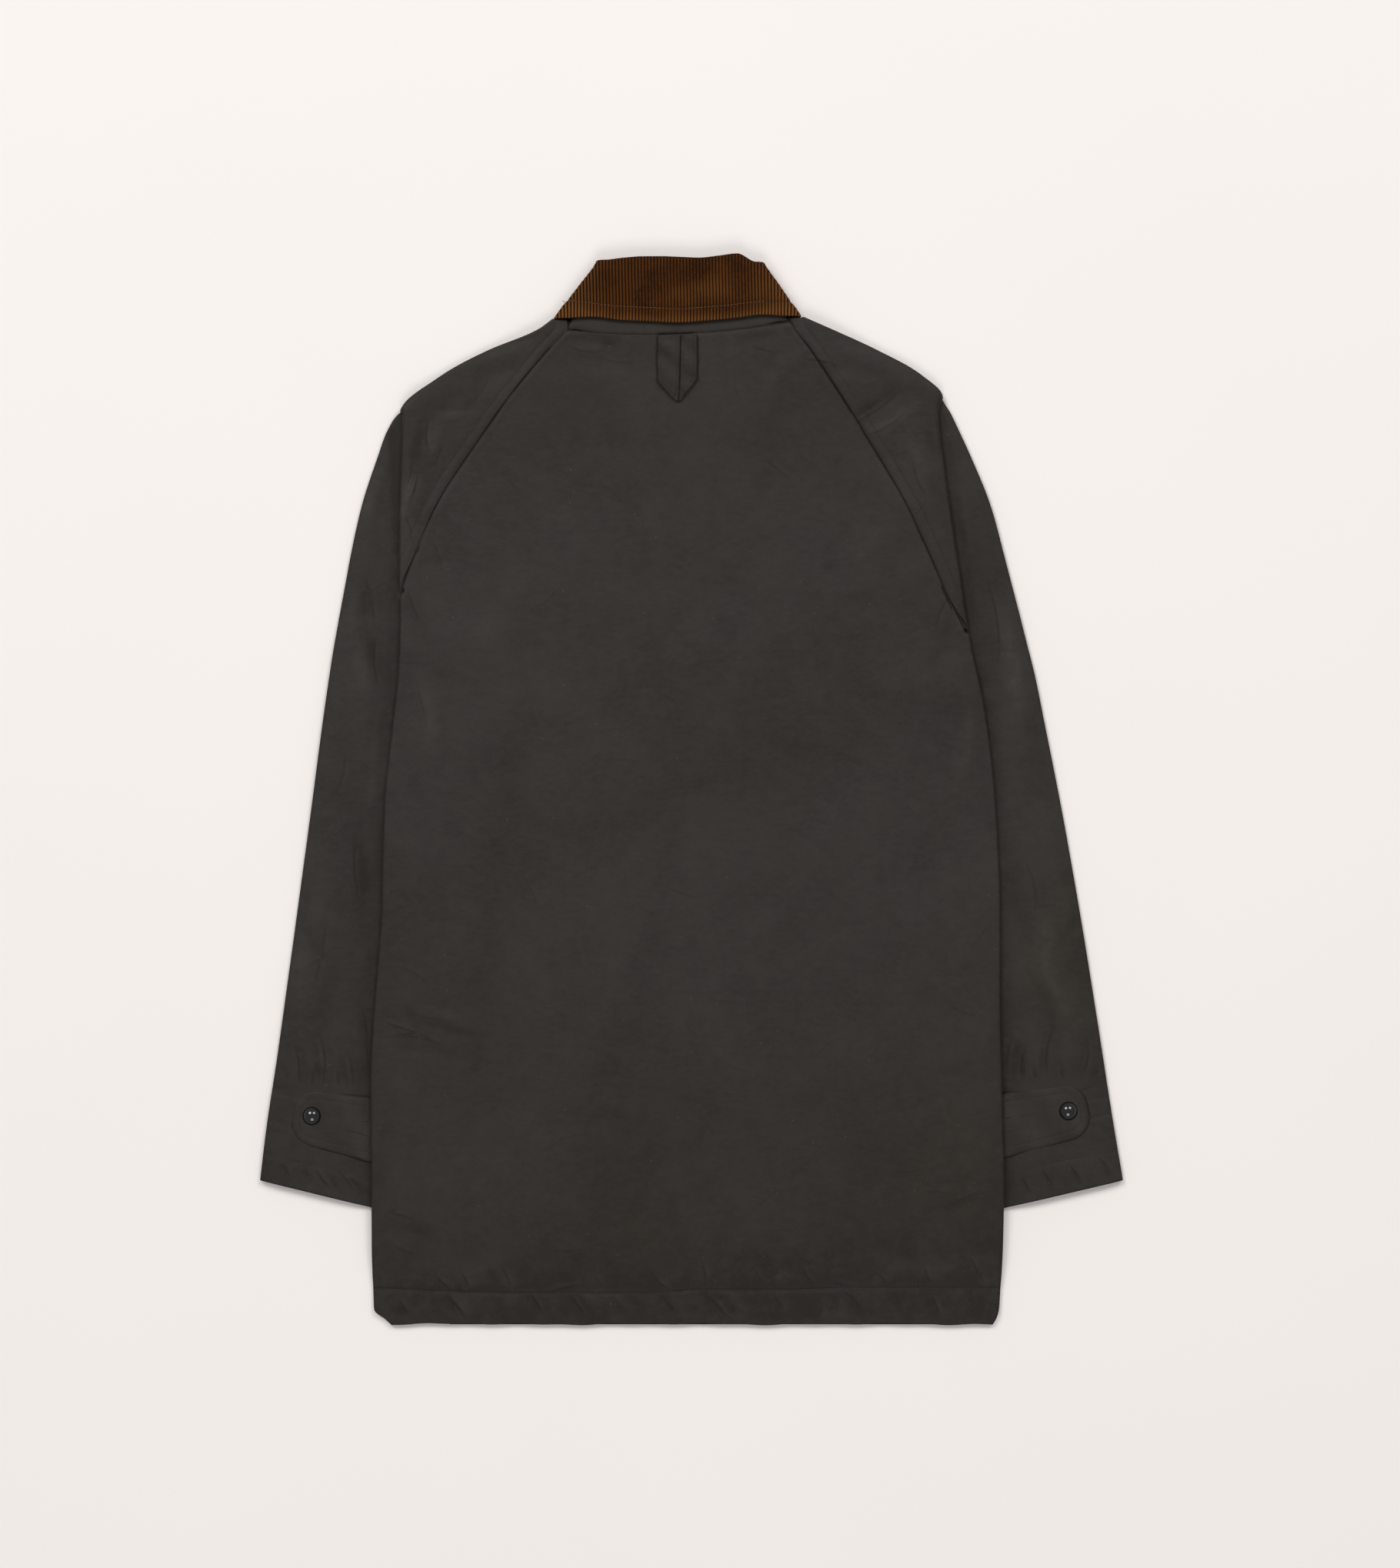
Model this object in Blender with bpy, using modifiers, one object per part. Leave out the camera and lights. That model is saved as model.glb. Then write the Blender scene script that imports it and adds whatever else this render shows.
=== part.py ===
"""Waxed cotton raglan jacket with a corduroy collar, laid flat on its front with the back up.

Garment coordinates: x across the jacket, u up from the hem towards the collar, z up from the table.
Every sheet is the middle surface of one sewn piece, thickened by Solidify.
"""
import math

import bmesh
import bpy

MM = 0.001
HEM_TO_ORIGIN = 0.4315      # the origin is at mid length of the jacket, on the table
CLOTH = 2.2 * MM            # waxed cotton with its backing
COLLAR_CLOTH = 1.6 * MM
TAB_CLOTH = 1.6 * MM
SEAM = 0.3 * MM             # gap between two sewn edges
LAY = 0.5 * MM              # gap between two layers that lie on each other
LAYER = CLOTH + LAY         # rise from one layer to the next
FOLD = LAYER / 2            # middle radius of a flat fold
TABLE = CLOTH / 2           # middle height of a layer on the table
TUCK = 2 * LAYER            # rise of the body where the sleeve lies under it
SLIVER = 0.15 * MM          # column spacing where a fold belongs to the neighbour piece
CENTRE = -7.5 * MM          # centre line of the neck and of the front opening

# Neck rise: the collar lifts the layers that meet it
FRONT_NECK_RISE = 4.0 * MM
BACK_NECK_RISE = 6.2 * MM
NECK_REACH = (0.112, 0.165)     # distance from the centre: full rise, no rise
FRONT_RISE_SPAN = (0.700, 0.738)
BACK_RISE_SPAN = (0.665, 0.765)
RAMP = 45 * MM                  # width of the ramp beside the tucked sleeve
RAMP_MARGIN = 4 * MM            # the ramp's top is this far inside the sleeve's inner edge
CUFF_RISE_SPAN = (0.025, 0.077) # heights between which the body rises on to the cuff
SHOULDER_RISE = 0.045           # height over which the tucked sleeve ends above the shoulder
COLUMN_STEP = 4 * MM            # least spacing of a panel's outer columns
UNDERARM_TURN = 12 * MM         # height in which the seam turns in to the underarm point
TURN_DEPTH = 52 * MM            # how far inside the edge fold it turns
UNDERARM_BULK = 1.4 * MM        # extra rise over the underarm point
TAB_LIFT = 2.1 * MM             # the body's edge rises this much over the cuff tab
TAB_WINDOW = (0.085, 0.130, 0.195, 0.245)   # heights: start, full, full, end of that rise

# Body edge, where back and front fold round: height, left x, right x
BODY_EDGE = [
    (0.000, -0.2385, 0.2470), (0.005, -0.2440, 0.2500), (0.013, -0.2530, 0.2523),
    (0.050, -0.2545, 0.2548), (0.110, -0.2545, 0.2561), (0.200, -0.2554, 0.2540),
    (0.270, -0.2520, 0.2525), (0.324, -0.2470, 0.2530), (0.386, -0.2449, 0.2517),
    (0.448, -0.2435, 0.2470), (0.500, -0.2355, 0.2400), (0.541, -0.2319, 0.2306),
    (0.575, -0.2315, 0.2253), (0.606, -0.2320, 0.2207), (0.640, -0.2325, 0.2150),
    (0.687, -0.2308, 0.2089), (0.718, -0.2300, 0.2040), (0.748, -0.2290, 0.2021),
    (0.830, -0.2270, 0.2000)]

# Sleeve silhouette: height, left x, right x
SLEEVE_EDGE = [
    (0.110, -0.3455, 0.3535), (0.138, -0.3429, 0.3484), (0.225, -0.3298, 0.3348),
    (0.324, -0.3162, 0.3193), (0.424, -0.3026, 0.3013), (0.523, -0.2895, 0.2815),
    (0.572, -0.2809, 0.2691), (0.622, -0.2716, 0.2561), (0.672, -0.2604, 0.2424),
    (0.721, -0.2424, 0.2201), (0.740, -0.2294, 0.2110), (0.7475, -0.2245, 0.2070),
    (0.7583, -0.2096, 0.1978), (0.7645, -0.2003, 0.1916), (0.7769, -0.1792, 0.1711),
    (0.7893, -0.1538, 0.1476), (0.8017, -0.1215, 0.1197), (0.8079, -0.1097, 0.1042),
    (0.8120, -0.1088, 0.0950)]

# Back raglan seam: height, left x, right x
BACK_SEAM = [
    (0.5586, -0.2370, 0.2251), (0.5909, -0.2306, 0.2085), (0.6135, -0.2220, 0.1990),
    (0.6343, -0.2145, 0.1897), (0.6560, -0.2046, 0.1798), (0.6826, -0.1897, 0.1652),
    (0.7040, -0.1748, 0.1524), (0.7300, -0.1565, 0.1365), (0.7474, -0.1445, 0.1255),
    (0.7744, -0.1218, 0.1075), (0.7868, -0.1110, 0.0992), (0.8023, -0.0967, 0.0872),
    (0.8120, -0.0976, 0.0830)]

# Depth of the sleeve hidden under the body edge: height, depth
HIDDEN_DEPTH = [
    (0.000, 0.048), (0.100, 0.048), (0.330, 0.063), (0.500, 0.070), (0.590, 0.066),
    (0.700, 0.004), (0.760, 0.000)]

# Side seam under the body edge: height, distance from the edge
SIDE_SEAM = [(0.000, 0.045), (0.090, 0.045), (0.330, 0.055), (0.510, 0.065), (0.560, 0.065)]

# Neck seam of the back: a shallow parabola between its two ends
NECK_ENDS = (-0.0967, 0.0818)
NECK_LOW_X = -0.030
NECK_LOW_HEIGHT = 0.7990
NECK_CURVE = 0.82           # rise per square metre across

# Neck seam of the fronts: lowest at the centre, up to the front raglan seams
FRONT_NECK_LOW = 0.782
FRONT_NECK_END = 0.7985
FRONT_NECK_HALF = 0.0815

# Top edge of the collar: x, height
COLLAR_TOP = [
    (-0.0756, 0.8587), (-0.0298, 0.8618), (0.0122, 0.8602), (0.0400, 0.8637), (0.0651, 0.8570)]

# Lower edge of the collar fall over the back: x, height
COLLAR_FALL = [
    (-0.1088, 0.8110), (-0.1011, 0.8153), (-0.0577, 0.8097), (-0.0053, 0.8074),
    (0.0295, 0.8100), (0.0643, 0.8141), (0.0936, 0.8127)]

# Heights of the shoulder point, of the armpit, where the raglan seam passes round the edge fold,
# of the underarm point, of the back's corner at the neck and of the sleeve's end under the collar
SIDES = {
    "left": {"sign": -1, "column": 1, "shoulder": 0.7366, "armpit": 0.5909, "underarm": 0.545,
             "corner": 0.8023, "neck": 0.8105},
    "right": {"sign": 1, "column": 2, "shoulder": 0.7477, "armpit": 0.5586, "underarm": 0.515,
              "corner": 0.8075, "neck": 0.8118},
}

# Where the raglan seam passes round the body's edge fold
ARMPIT_GAP = 1.4 * MM           # extra half gap there
ARMPIT_REACH = 30 * MM          # height over which it closes
SLEEVE_LEAD = 4 * MM            # the sleeve's seam leaves the edge fold this much above the back's
ARMPIT_STEP = 3 * MM            # height in which the seam passes round the body's edge fold
CUFF_END = 0.083            # inner corner of the cuff
CUFF_SLANT = 0.034
NECK_LEDGE = 3 * MM         # the front edge of the sleeve's neck end, between its last two rows

BODY_HEIGHTS = [
    0.0005, 0.005, 0.013, 0.045, 0.060, 0.080, 0.120, 0.160, 0.205, 0.250, 0.330,
    0.420, 0.490, 0.575, 0.620, 0.660, 0.700, 0.735, 0.765, 0.785]

# Cuff tabs: where the tab comes out of the body edge, its axis angle, and the snap's place
TABS = {
    "left": {"x": -0.2585, "u": 0.1587, "angle": 168.2, "snap": (-0.3022, 0.1691)},
    "right": {"x": 0.2579, "u": 0.1621, "angle": 11.6, "snap": (0.3072, 0.1731)},
}
TAB_LENGTH = {"left": 0.0610, "right": 0.0670}
TAB_HIDDEN = 0.025
TAB_HALF_WIDTH = (0.0262, 0.0225)   # at the hidden end, at the round end
TAB_CORNER = 0.019
TAB_HEIGHT = TABLE + LAYER + CLOTH / 2 + SEAM + TAB_CLOTH / 2
SNAP_PROFILE = [
    # radius, height in mm, from the top of the dome down to its base
    (0.0, 4.9), (2.4, 4.6), (4.6, 3.7), (6.3, 2.3), (7.3, 1.1), (7.5, 0.5), (7.3, 0.0), (0.0, 0.0)]

# Straps of the locker loop
STRAPS = {
    # height, left x, right x
    "loop_strap_left": [
        (0.7446, -0.0086, -0.0072), (0.7480, -0.0124, -0.0066), (0.7601, -0.0236, -0.0060),
        (0.7790, -0.0240, -0.0056), (0.7975, -0.0236, -0.0050)],
    "loop_strap_right": [
        (0.7450, -0.0064, -0.0050), (0.7480, -0.0062, -0.0030), (0.7620, -0.0055, 0.0081),
        (0.7790, -0.0051, 0.0083), (0.7975, -0.0046, 0.0081)],
}

MATERIALS = {
    "waxed_cotton": ((0.036, 0.032, 0.026), 0.55, 0.0),
    "corduroy": ((0.085, 0.030, 0.008), 0.85, 0.0),
    "snap_black": ((0.010, 0.010, 0.010), 0.12, 0.0),
}


def clamp(value, low=0.0, high=1.0):
    return max(low, min(high, value))


def smooth(value):
    """Smooth step from 0 to 1."""
    value = clamp(value)
    return value * value * (3 - 2 * value)


def mix(a, b, share):
    return a + (b - a) * share


def read(table, key, column=1):
    """Value of a table's column at key, on straight lines between rows."""
    if key <= table[0][0]:
        return table[0][column]
    for low, high in zip(table, table[1:]):
        if key <= high[0]:
            return mix(low[column], high[column], (key - low[0]) / (high[0] - low[0]))
    return table[-1][column]


def neck_reach(x):
    full, none = NECK_REACH
    return smooth((none - abs(x - CENTRE)) / (none - full))


def neck_seam(x):
    """Height of the back neck seam."""
    return NECK_LOW_HEIGHT + NECK_CURVE * (x - NECK_LOW_X) ** 2


def span(value, limits):
    low, high = limits
    return smooth((value - low) / (high - low))


class Side:
    """One side of the jacket: where its folds and seams are, and how high its layers lie."""

    def __init__(self, name):
        data = SIDES[name]
        self.name = name
        self.sign = data["sign"]
        self.column = data["column"]
        self.shoulder = data["shoulder"]
        self.armpit = data["armpit"]
        self.underarm = data["underarm"]
        self.corner = data["corner"]
        self.neck = data["neck"]

    def inward(self, x, distance):
        return x - self.sign * distance

    def edge(self, u):
        """Middle of the cloth at the outermost point of the body edge or pleat fold."""
        table = BODY_EDGE if u < self.shoulder else SLEEVE_EDGE
        return self.inward(read(table, u, self.column), CLOTH / 2)

    def silhouette(self, u):
        return self.inward(read(SLEEVE_EDGE, u, self.column), CLOTH / 2)

    def back_seam(self, u):
        return read(BACK_SEAM, u, self.column)

    def hidden_depth(self, u):
        return read(HIDDEN_DEPTH, u)

    def inner(self, u):
        """Inner edge of the sleeve's hidden layers."""
        return self.inward(self.edge(u), self.hidden_depth(u))

    def tuck(self, u):
        """Rise over the tucked sleeve: none at the hem and above the shoulder, most at the underarm."""
        over_shoulder = smooth((self.shoulder + SHOULDER_RISE - u) / SHOULDER_RISE)
        bulk = UNDERARM_BULK * smooth(1 - abs(u - self.underarm) / 0.035)
        return TUCK * over_shoulder * span(u, CUFF_RISE_SPAN) + bulk

    def ramp(self, x, u):
        """Ramp from the middle of the body (0) up on to the sleeve (1)."""
        top = self.inward(self.inner(u), RAMP_MARGIN)
        return smooth(1 - self.sign * (top - x) / RAMP)

    def tab_lift(self, x, u):
        start, full, last, end = TAB_WINDOW
        along = span(u, (start, full)) * (1 - span(u, (last, end)))
        beside = 1 - span(self.sign * (self.edge(u) - x), (0.028, 0.044))
        return TAB_LIFT * along * beside

    def top(self, x, u):
        """Middle height of the uppermost layer: back panel and sleeve cap."""
        neck = BACK_NECK_RISE * span(u, BACK_RISE_SPAN) * neck_reach(x)
        return TABLE + LAYER + self.tuck(u) * self.ramp(x, u) + neck + self.tab_lift(x, u)

    def bottom(self, x, u):
        """Middle height of the sleeve's lower wall, on the table or over the collar's front half."""
        return TABLE + FRONT_NECK_RISE * span(u, FRONT_RISE_SPAN) * neck_reach(x)

    def front(self, x, u):
        """Middle height of the front panel."""
        fade = 1 - span(u, (self.underarm, self.underarm + 0.030))
        over_sleeve = self.tuck(u) * self.ramp(x, u) * fade
        return self.bottom(x, u) + over_sleeve + self.tab_lift(x, u)

    def seam_gap(self, u):
        """Half the gap at the back's outer seam, wider where it passes round the edge fold."""
        return SEAM / 2 + ARMPIT_GAP * smooth(1 - abs(u - self.armpit) / ARMPIT_REACH)

    def arc_length(self):
        return math.pi * FOLD

    def along_fold(self, distance, u):
        """Point at a distance past the start of the body's edge fold, along the folded cloth."""
        start = self.inward(self.edge(u), FOLD)
        high = self.top(self.edge(u), u)
        if distance <= 0:
            x = self.inward(start, -distance)
            return x, self.top(x, u)
        if distance < self.arc_length():
            angle = distance / FOLD
            return start + self.sign * FOLD * math.sin(angle), high - FOLD * (1 - math.cos(angle))
        x = self.inward(start, distance - self.arc_length())
        return x, high - 2 * FOLD - self.tab_lift(self.edge(u), u) + self.tab_lift(x, u)

    def seam_distance(self, u):
        """Where the back's outer seam is, as a distance along the folded cloth."""
        start = self.inward(self.edge(u), FOLD)
        if u >= self.armpit:
            return min(0.0, self.sign * (self.back_seam(u) - start))
        turn = self.underarm + UNDERARM_TURN
        if u >= turn:
            return (self.armpit - u) / (self.armpit - turn) * (self.arc_length() + TURN_DEPTH)
        if u > self.underarm:
            share = (turn - u) / UNDERARM_TURN
            return self.arc_length() + mix(TURN_DEPTH, read(SIDE_SEAM, self.underarm), share)
        return self.arc_length() + read(SIDE_SEAM, u)


LEFT = Side("left")
RIGHT = Side("right")


def front_neck(x):
    """Height of the front neck seam."""
    across = clamp(abs(x - CENTRE) / FRONT_NECK_HALF)
    return mix(FRONT_NECK_LOW, FRONT_NECK_END, across ** 2)


def front_seam(side, u):
    """Front raglan seam, from the underarm point to the neck."""
    low = side.inward(side.inner(side.underarm), RAMP_MARGIN)
    high = CENTRE + side.sign * FRONT_NECK_HALF
    share = clamp((u - side.underarm) / (FRONT_NECK_END - side.underarm))
    return mix(low, high, share)


def make_material(name):
    colour, roughness, metallic = MATERIALS[name]
    material = bpy.data.materials.new(name)
    material.use_nodes = True
    shader = material.node_tree.nodes["Principled BSDF"]
    shader.inputs["Base Color"].default_value = (*colour, 1.0)
    shader.inputs["Roughness"].default_value = roughness
    shader.inputs["Metallic"].default_value = metallic
    return material


class Jacket:
    """Collects the pieces under one empty at the jacket's origin."""

    def __init__(self):
        self.collection = bpy.data.collections.new("waxed_cotton_jacket")
        bpy.context.scene.collection.children.link(self.collection)
        self.root = bpy.data.objects.new("jacket_origin", None)
        self.root.location = (0, -HEM_TO_ORIGIN, 0)
        self.collection.objects.link(self.root)

    def add(self, name, data, finish):
        piece = bpy.data.objects.new(name, data)
        material = make_material(finish)
        material.name = name + "_" + finish
        data.materials.append(material)
        piece.parent = self.root
        self.collection.objects.link(piece)
        return piece

    def sheet(self, name, rows, thickness, finish, flip=False):
        """Loft rows of middle-surface points into a sheet and thicken it."""
        mesh = bmesh.new()
        grid = [[mesh.verts.new(point) for point in row] for row in rows]
        for low, high in zip(grid, grid[1:]):
            for k in range(len(low) - 1):
                for corners in ((low[k], low[k + 1], high[k + 1]), (low[k], high[k + 1], high[k])):
                    mesh.faces.new(corners[::-1] if flip else corners)
        data = bpy.data.meshes.new(name)
        mesh.to_mesh(data)
        mesh.free()
        piece = self.add(name, data, finish)
        wall = piece.modifiers.new("Cloth", "SOLIDIFY")
        wall.thickness = thickness
        wall.offset = 0
        return piece


def fold_stations(side):
    """Distances past the edge fold's start for the arc and the return."""
    arc = side.arc_length()
    return [arc / 3, 2 * arc / 3, arc, arc + 0.018, arc + 0.045]


def ramp_columns(side, u, outer, inner):
    """x of the columns from the outer end to the centre, with four along the ramp."""
    reach = side.sign * (outer - inner)
    ramp_top = side.sign * (outer - side.inward(side.inner(u), RAMP_MARGIN))
    columns = []
    for k, share in enumerate((0, 1 / 3, 2 / 3, 1)):
        distance = max(ramp_top + RAMP * share, (k + 1) * COLUMN_STEP)
        columns.append(side.inward(outer, distance))
    for share in (1 / 3, 2 / 3):
        columns.append(side.inward(outer, mix(distance, reach, share)))
    return columns


def back_half_row(side, u):
    """Points of one side of the back at height u, from the outer seam to next to the centre."""
    end = side.seam_distance(u) - side.seam_gap(u)
    tail = []
    stations = fold_stations(side)
    stations[-1] = max(stations[-1], end)
    for k, station in enumerate(reversed(stations)):
        tail.append(min(station, end - k * SLIVER))
    points = []
    for distance in tail:
        x, z = side.along_fold(distance, u)
        points.append((x, u, z))
    start = min(0.0, end - len(tail) * SLIVER)
    outer, z = side.along_fold(start, u)
    points.append((outer, u, z))
    for x in ramp_columns(side, u, outer, CENTRE):
        points.append((x, u, side.top(x, u)))
    return points


def back_row(u):
    left = back_half_row(LEFT, u)
    right = back_half_row(RIGHT, u)
    centre = [(CENTRE, u, LEFT.top(CENTRE, u))]
    return left + centre + right[::-1]


def body_heights():
    heights = list(BODY_HEIGHTS)
    for side in (LEFT, RIGHT):
        heights += [side.underarm, side.underarm + UNDERARM_TURN]
        heights += [side.armpit - ARMPIT_STEP, side.armpit, side.armpit + SLEEVE_LEAD]
    return sorted(heights)


def back_neck_row():
    """Last row of the back, along the neck seam."""
    below = back_row(BODY_HEIGHTS[-1])
    first, last = below[0][0], below[-1][0]
    left, right = NECK_ENDS[0] + SEAM / 2, NECK_ENDS[1] - SEAM / 2
    row = []
    for x, _, _ in below:
        x = mix(left, right, (x - first) / (last - first))
        u = neck_seam(x) - SEAM
        row.append((x, u, LEFT.top(x, u)))
    return row


def add_back(jacket):
    rows = [back_row(u) for u in body_heights()]
    rows.append(back_neck_row())
    jacket.sheet("back", rows, CLOTH, "waxed_cotton")


def front_outer(side, u):
    """Outer end of the front panel: side seam below the underarm, raglan seam above it."""
    if u > side.underarm:
        return side.inward(front_seam(side, u), SEAM / 2)
    x, _ = side.along_fold(side.seam_distance(u) + SEAM / 2, u)
    return x


def front_row(side, u, top_row=False):
    outer = front_outer(side, u)
    inner = CENTRE + side.sign * SEAM / 2
    points = []
    for x in [outer] + ramp_columns(side, u, outer, inner) + [inner]:
        height = front_neck(x) - 3 * SEAM if top_row else u
        points.append((x, height, side.front(x, height)))
    return points


def add_front(jacket, side):
    rows = [front_row(side, u) for u in body_heights() if u < 0.77]
    rows.append(front_row(side, 0.7975, top_row=True))
    if side is RIGHT:
        rows = [row[::-1] for row in rows]
    jacket.sheet("front_" + side.name, rows, CLOTH, "waxed_cotton")


def sleeve_slant(side, u):
    """Rise of a sleeve row from its inner to its outer end: level at the armpit, steep at the cuff."""
    return CUFF_SLANT * clamp((side.underarm - u) / (side.underarm - CUFF_END))


def half_fold(x, z, radius, outward, steps):
    """Points round a flat fold that starts at the top (x, z) and ends under it."""
    return [(x + outward * radius * math.sin(math.pi * share),
             z - radius * (1 - math.cos(math.pi * share))) for share in steps]


def between(first, last, count):
    """Points evenly between two ends, without the ends."""
    return [tuple(mix(a, b, k / (count + 1)) for a, b in zip(first, last))
            for k in range(1, count + 1)]


def folded_columns(side, u, outer):
    """Cap, upper fold, lower fold and upper wall of a sleeve section below the shoulder point."""
    lead = 0.0
    if u > side.armpit - ARMPIT_STEP / 2:
        lead = SLEEVE_LEAD * smooth(1 - (u - side.armpit) / ARMPIT_REACH)
    start = side.seam_distance(u - lead) + side.seam_gap(u)
    distances = [mix(min(start, 0), 0, share) for share in (0, 0.5, 1)]
    distances += [side.arc_length() * share for share in (1 / 3, 2 / 3, 1)]
    points = []
    for k, distance in enumerate(distances):
        points.append(side.along_fold(max(distance, start + k * SLIVER), u))
    last_x, _ = points[-1]
    wall = TABLE + LAYER
    turn = side.inward(side.inner(u), -FOLD)
    if side.sign * (last_x - turn) < SLIVER:
        turn = side.inward(last_x, SLIVER)
    points += half_fold(turn, wall + 2 * FOLD, FOLD, -side.sign, (0, 1 / 3, 2 / 3, 1))
    return points + between((turn, wall), (outer, wall), 1)


def open_columns(side, u, outer, radius):
    """The same columns above the shoulder point: cap, then one round outer fold."""
    start = side.back_seam(u) + side.sign * SEAM / 2
    points = []
    for share in (0, 0.5, 1):
        x = mix(start, outer, share)
        points.append((x, side.top(x, u)))
    steps = [k / 12 for k in range(1, 9)]
    return points + half_fold(outer, points[-1][1], radius, side.sign, steps)


def tube_columns(side, u, outer):
    """The same columns below the underarm: from the tube's inner edge along its upper wall."""
    inner = side.inward(side.inner(u), -FOLD)
    steps = [mix(0.52, 0.0, k / 9) for k in range(10)]
    points = half_fold(inner, TABLE + LAYER, FOLD, -side.sign, steps)
    return points + between((inner, TABLE + LAYER), (outer, TABLE + LAYER), 1)


def sleeve_row(side, u):
    """One section of a sleeve, from its back seam round the outer edge to its front seam."""
    rise = sleeve_slant(side, u)
    ledge = SEAM if u == side.neck else SEAM + NECK_LEDGE
    silhouette = side.silhouette(u + rise)
    bottom = side.bottom(silhouette, u)
    radius = FOLD
    if u >= side.shoulder:
        radius = (side.top(silhouette, u + rise) - bottom) / 2
    outer = side.inward(silhouette, radius)
    if u >= side.shoulder:
        points = open_columns(side, u, outer, radius)
        inner = points[0][0]
        points += half_fold(outer, side.top(outer, u), radius, side.sign,
                            (9 / 12, 10 / 12, 11 / 12, 1))
    elif u > side.underarm:
        points = folded_columns(side, u, outer)
        inner = side.inner(u)
        points += half_fold(outer, TABLE + LAYER, FOLD, side.sign, (0, 1 / 3, 2 / 3, 1))
    else:
        points = tube_columns(side, u, outer)
        inner = side.inner(u)
        points += half_fold(outer, TABLE + LAYER, FOLD, side.sign, (0, 1 / 3, 2 / 3, 1))
    if u > side.underarm:
        end = front_seam(side, min(u, FRONT_NECK_END - ledge)) + side.sign * SEAM / 2
        xs = [mix(outer, end, share) for share in (0.33, 0.67, 0.9, 1)]
        points += [(x, side.bottom(x, u)) for x in xs]
    else:
        end = side.inward(inner, -FOLD)
        points += between((outer, TABLE), (end, TABLE), 2)
        points += half_fold(end, TABLE + LAYER, FOLD, -side.sign, (0.78, 0.56))
    reach = abs(silhouette - inner)
    row = [(x, u + rise * clamp(abs(x - inner) / reach), z) for x, z in points]
    if u >= side.corner:
        row[-4:] = [(x, min(v, front_neck(x) - ledge), z) for x, v, z in row[-4:]]
    return row


def sleeve_heights(side):
    """Heights of a sleeve's sections from cuff to neck; with the body's from the underarm up."""
    below = [CUFF_END, 0.130, 0.190, 0.260, 0.340, 0.420, 0.480]
    shared = [u for u in body_heights() if u >= side.underarm]
    own = [side.shoulder - 0.016, side.shoulder, side.corner, side.neck]
    return sorted(below + shared + own)


def add_sleeve(jacket, side):
    rows = [sleeve_row(side, u) for u in sleeve_heights(side)]
    jacket.sheet("sleeve_" + side.name, rows, CLOTH, "waxed_cotton", flip=side.sign > 0)


def add_straps(jacket):
    """Two pointed straps of the locker loop, lying on the back below the neck seam."""
    for name, table in STRAPS.items():
        rows = []
        for u, first, last in table:
            row = []
            for share in (0, 0.5, 1):
                x = mix(first, last, share)
                lift = CLOTH / 2 + LAY + TAB_CLOTH / 2
                row.append((x, u, LEFT.top(x, u) + lift))
            rows.append(row)
        jacket.sheet(name, rows, TAB_CLOTH, "waxed_cotton")


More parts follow.
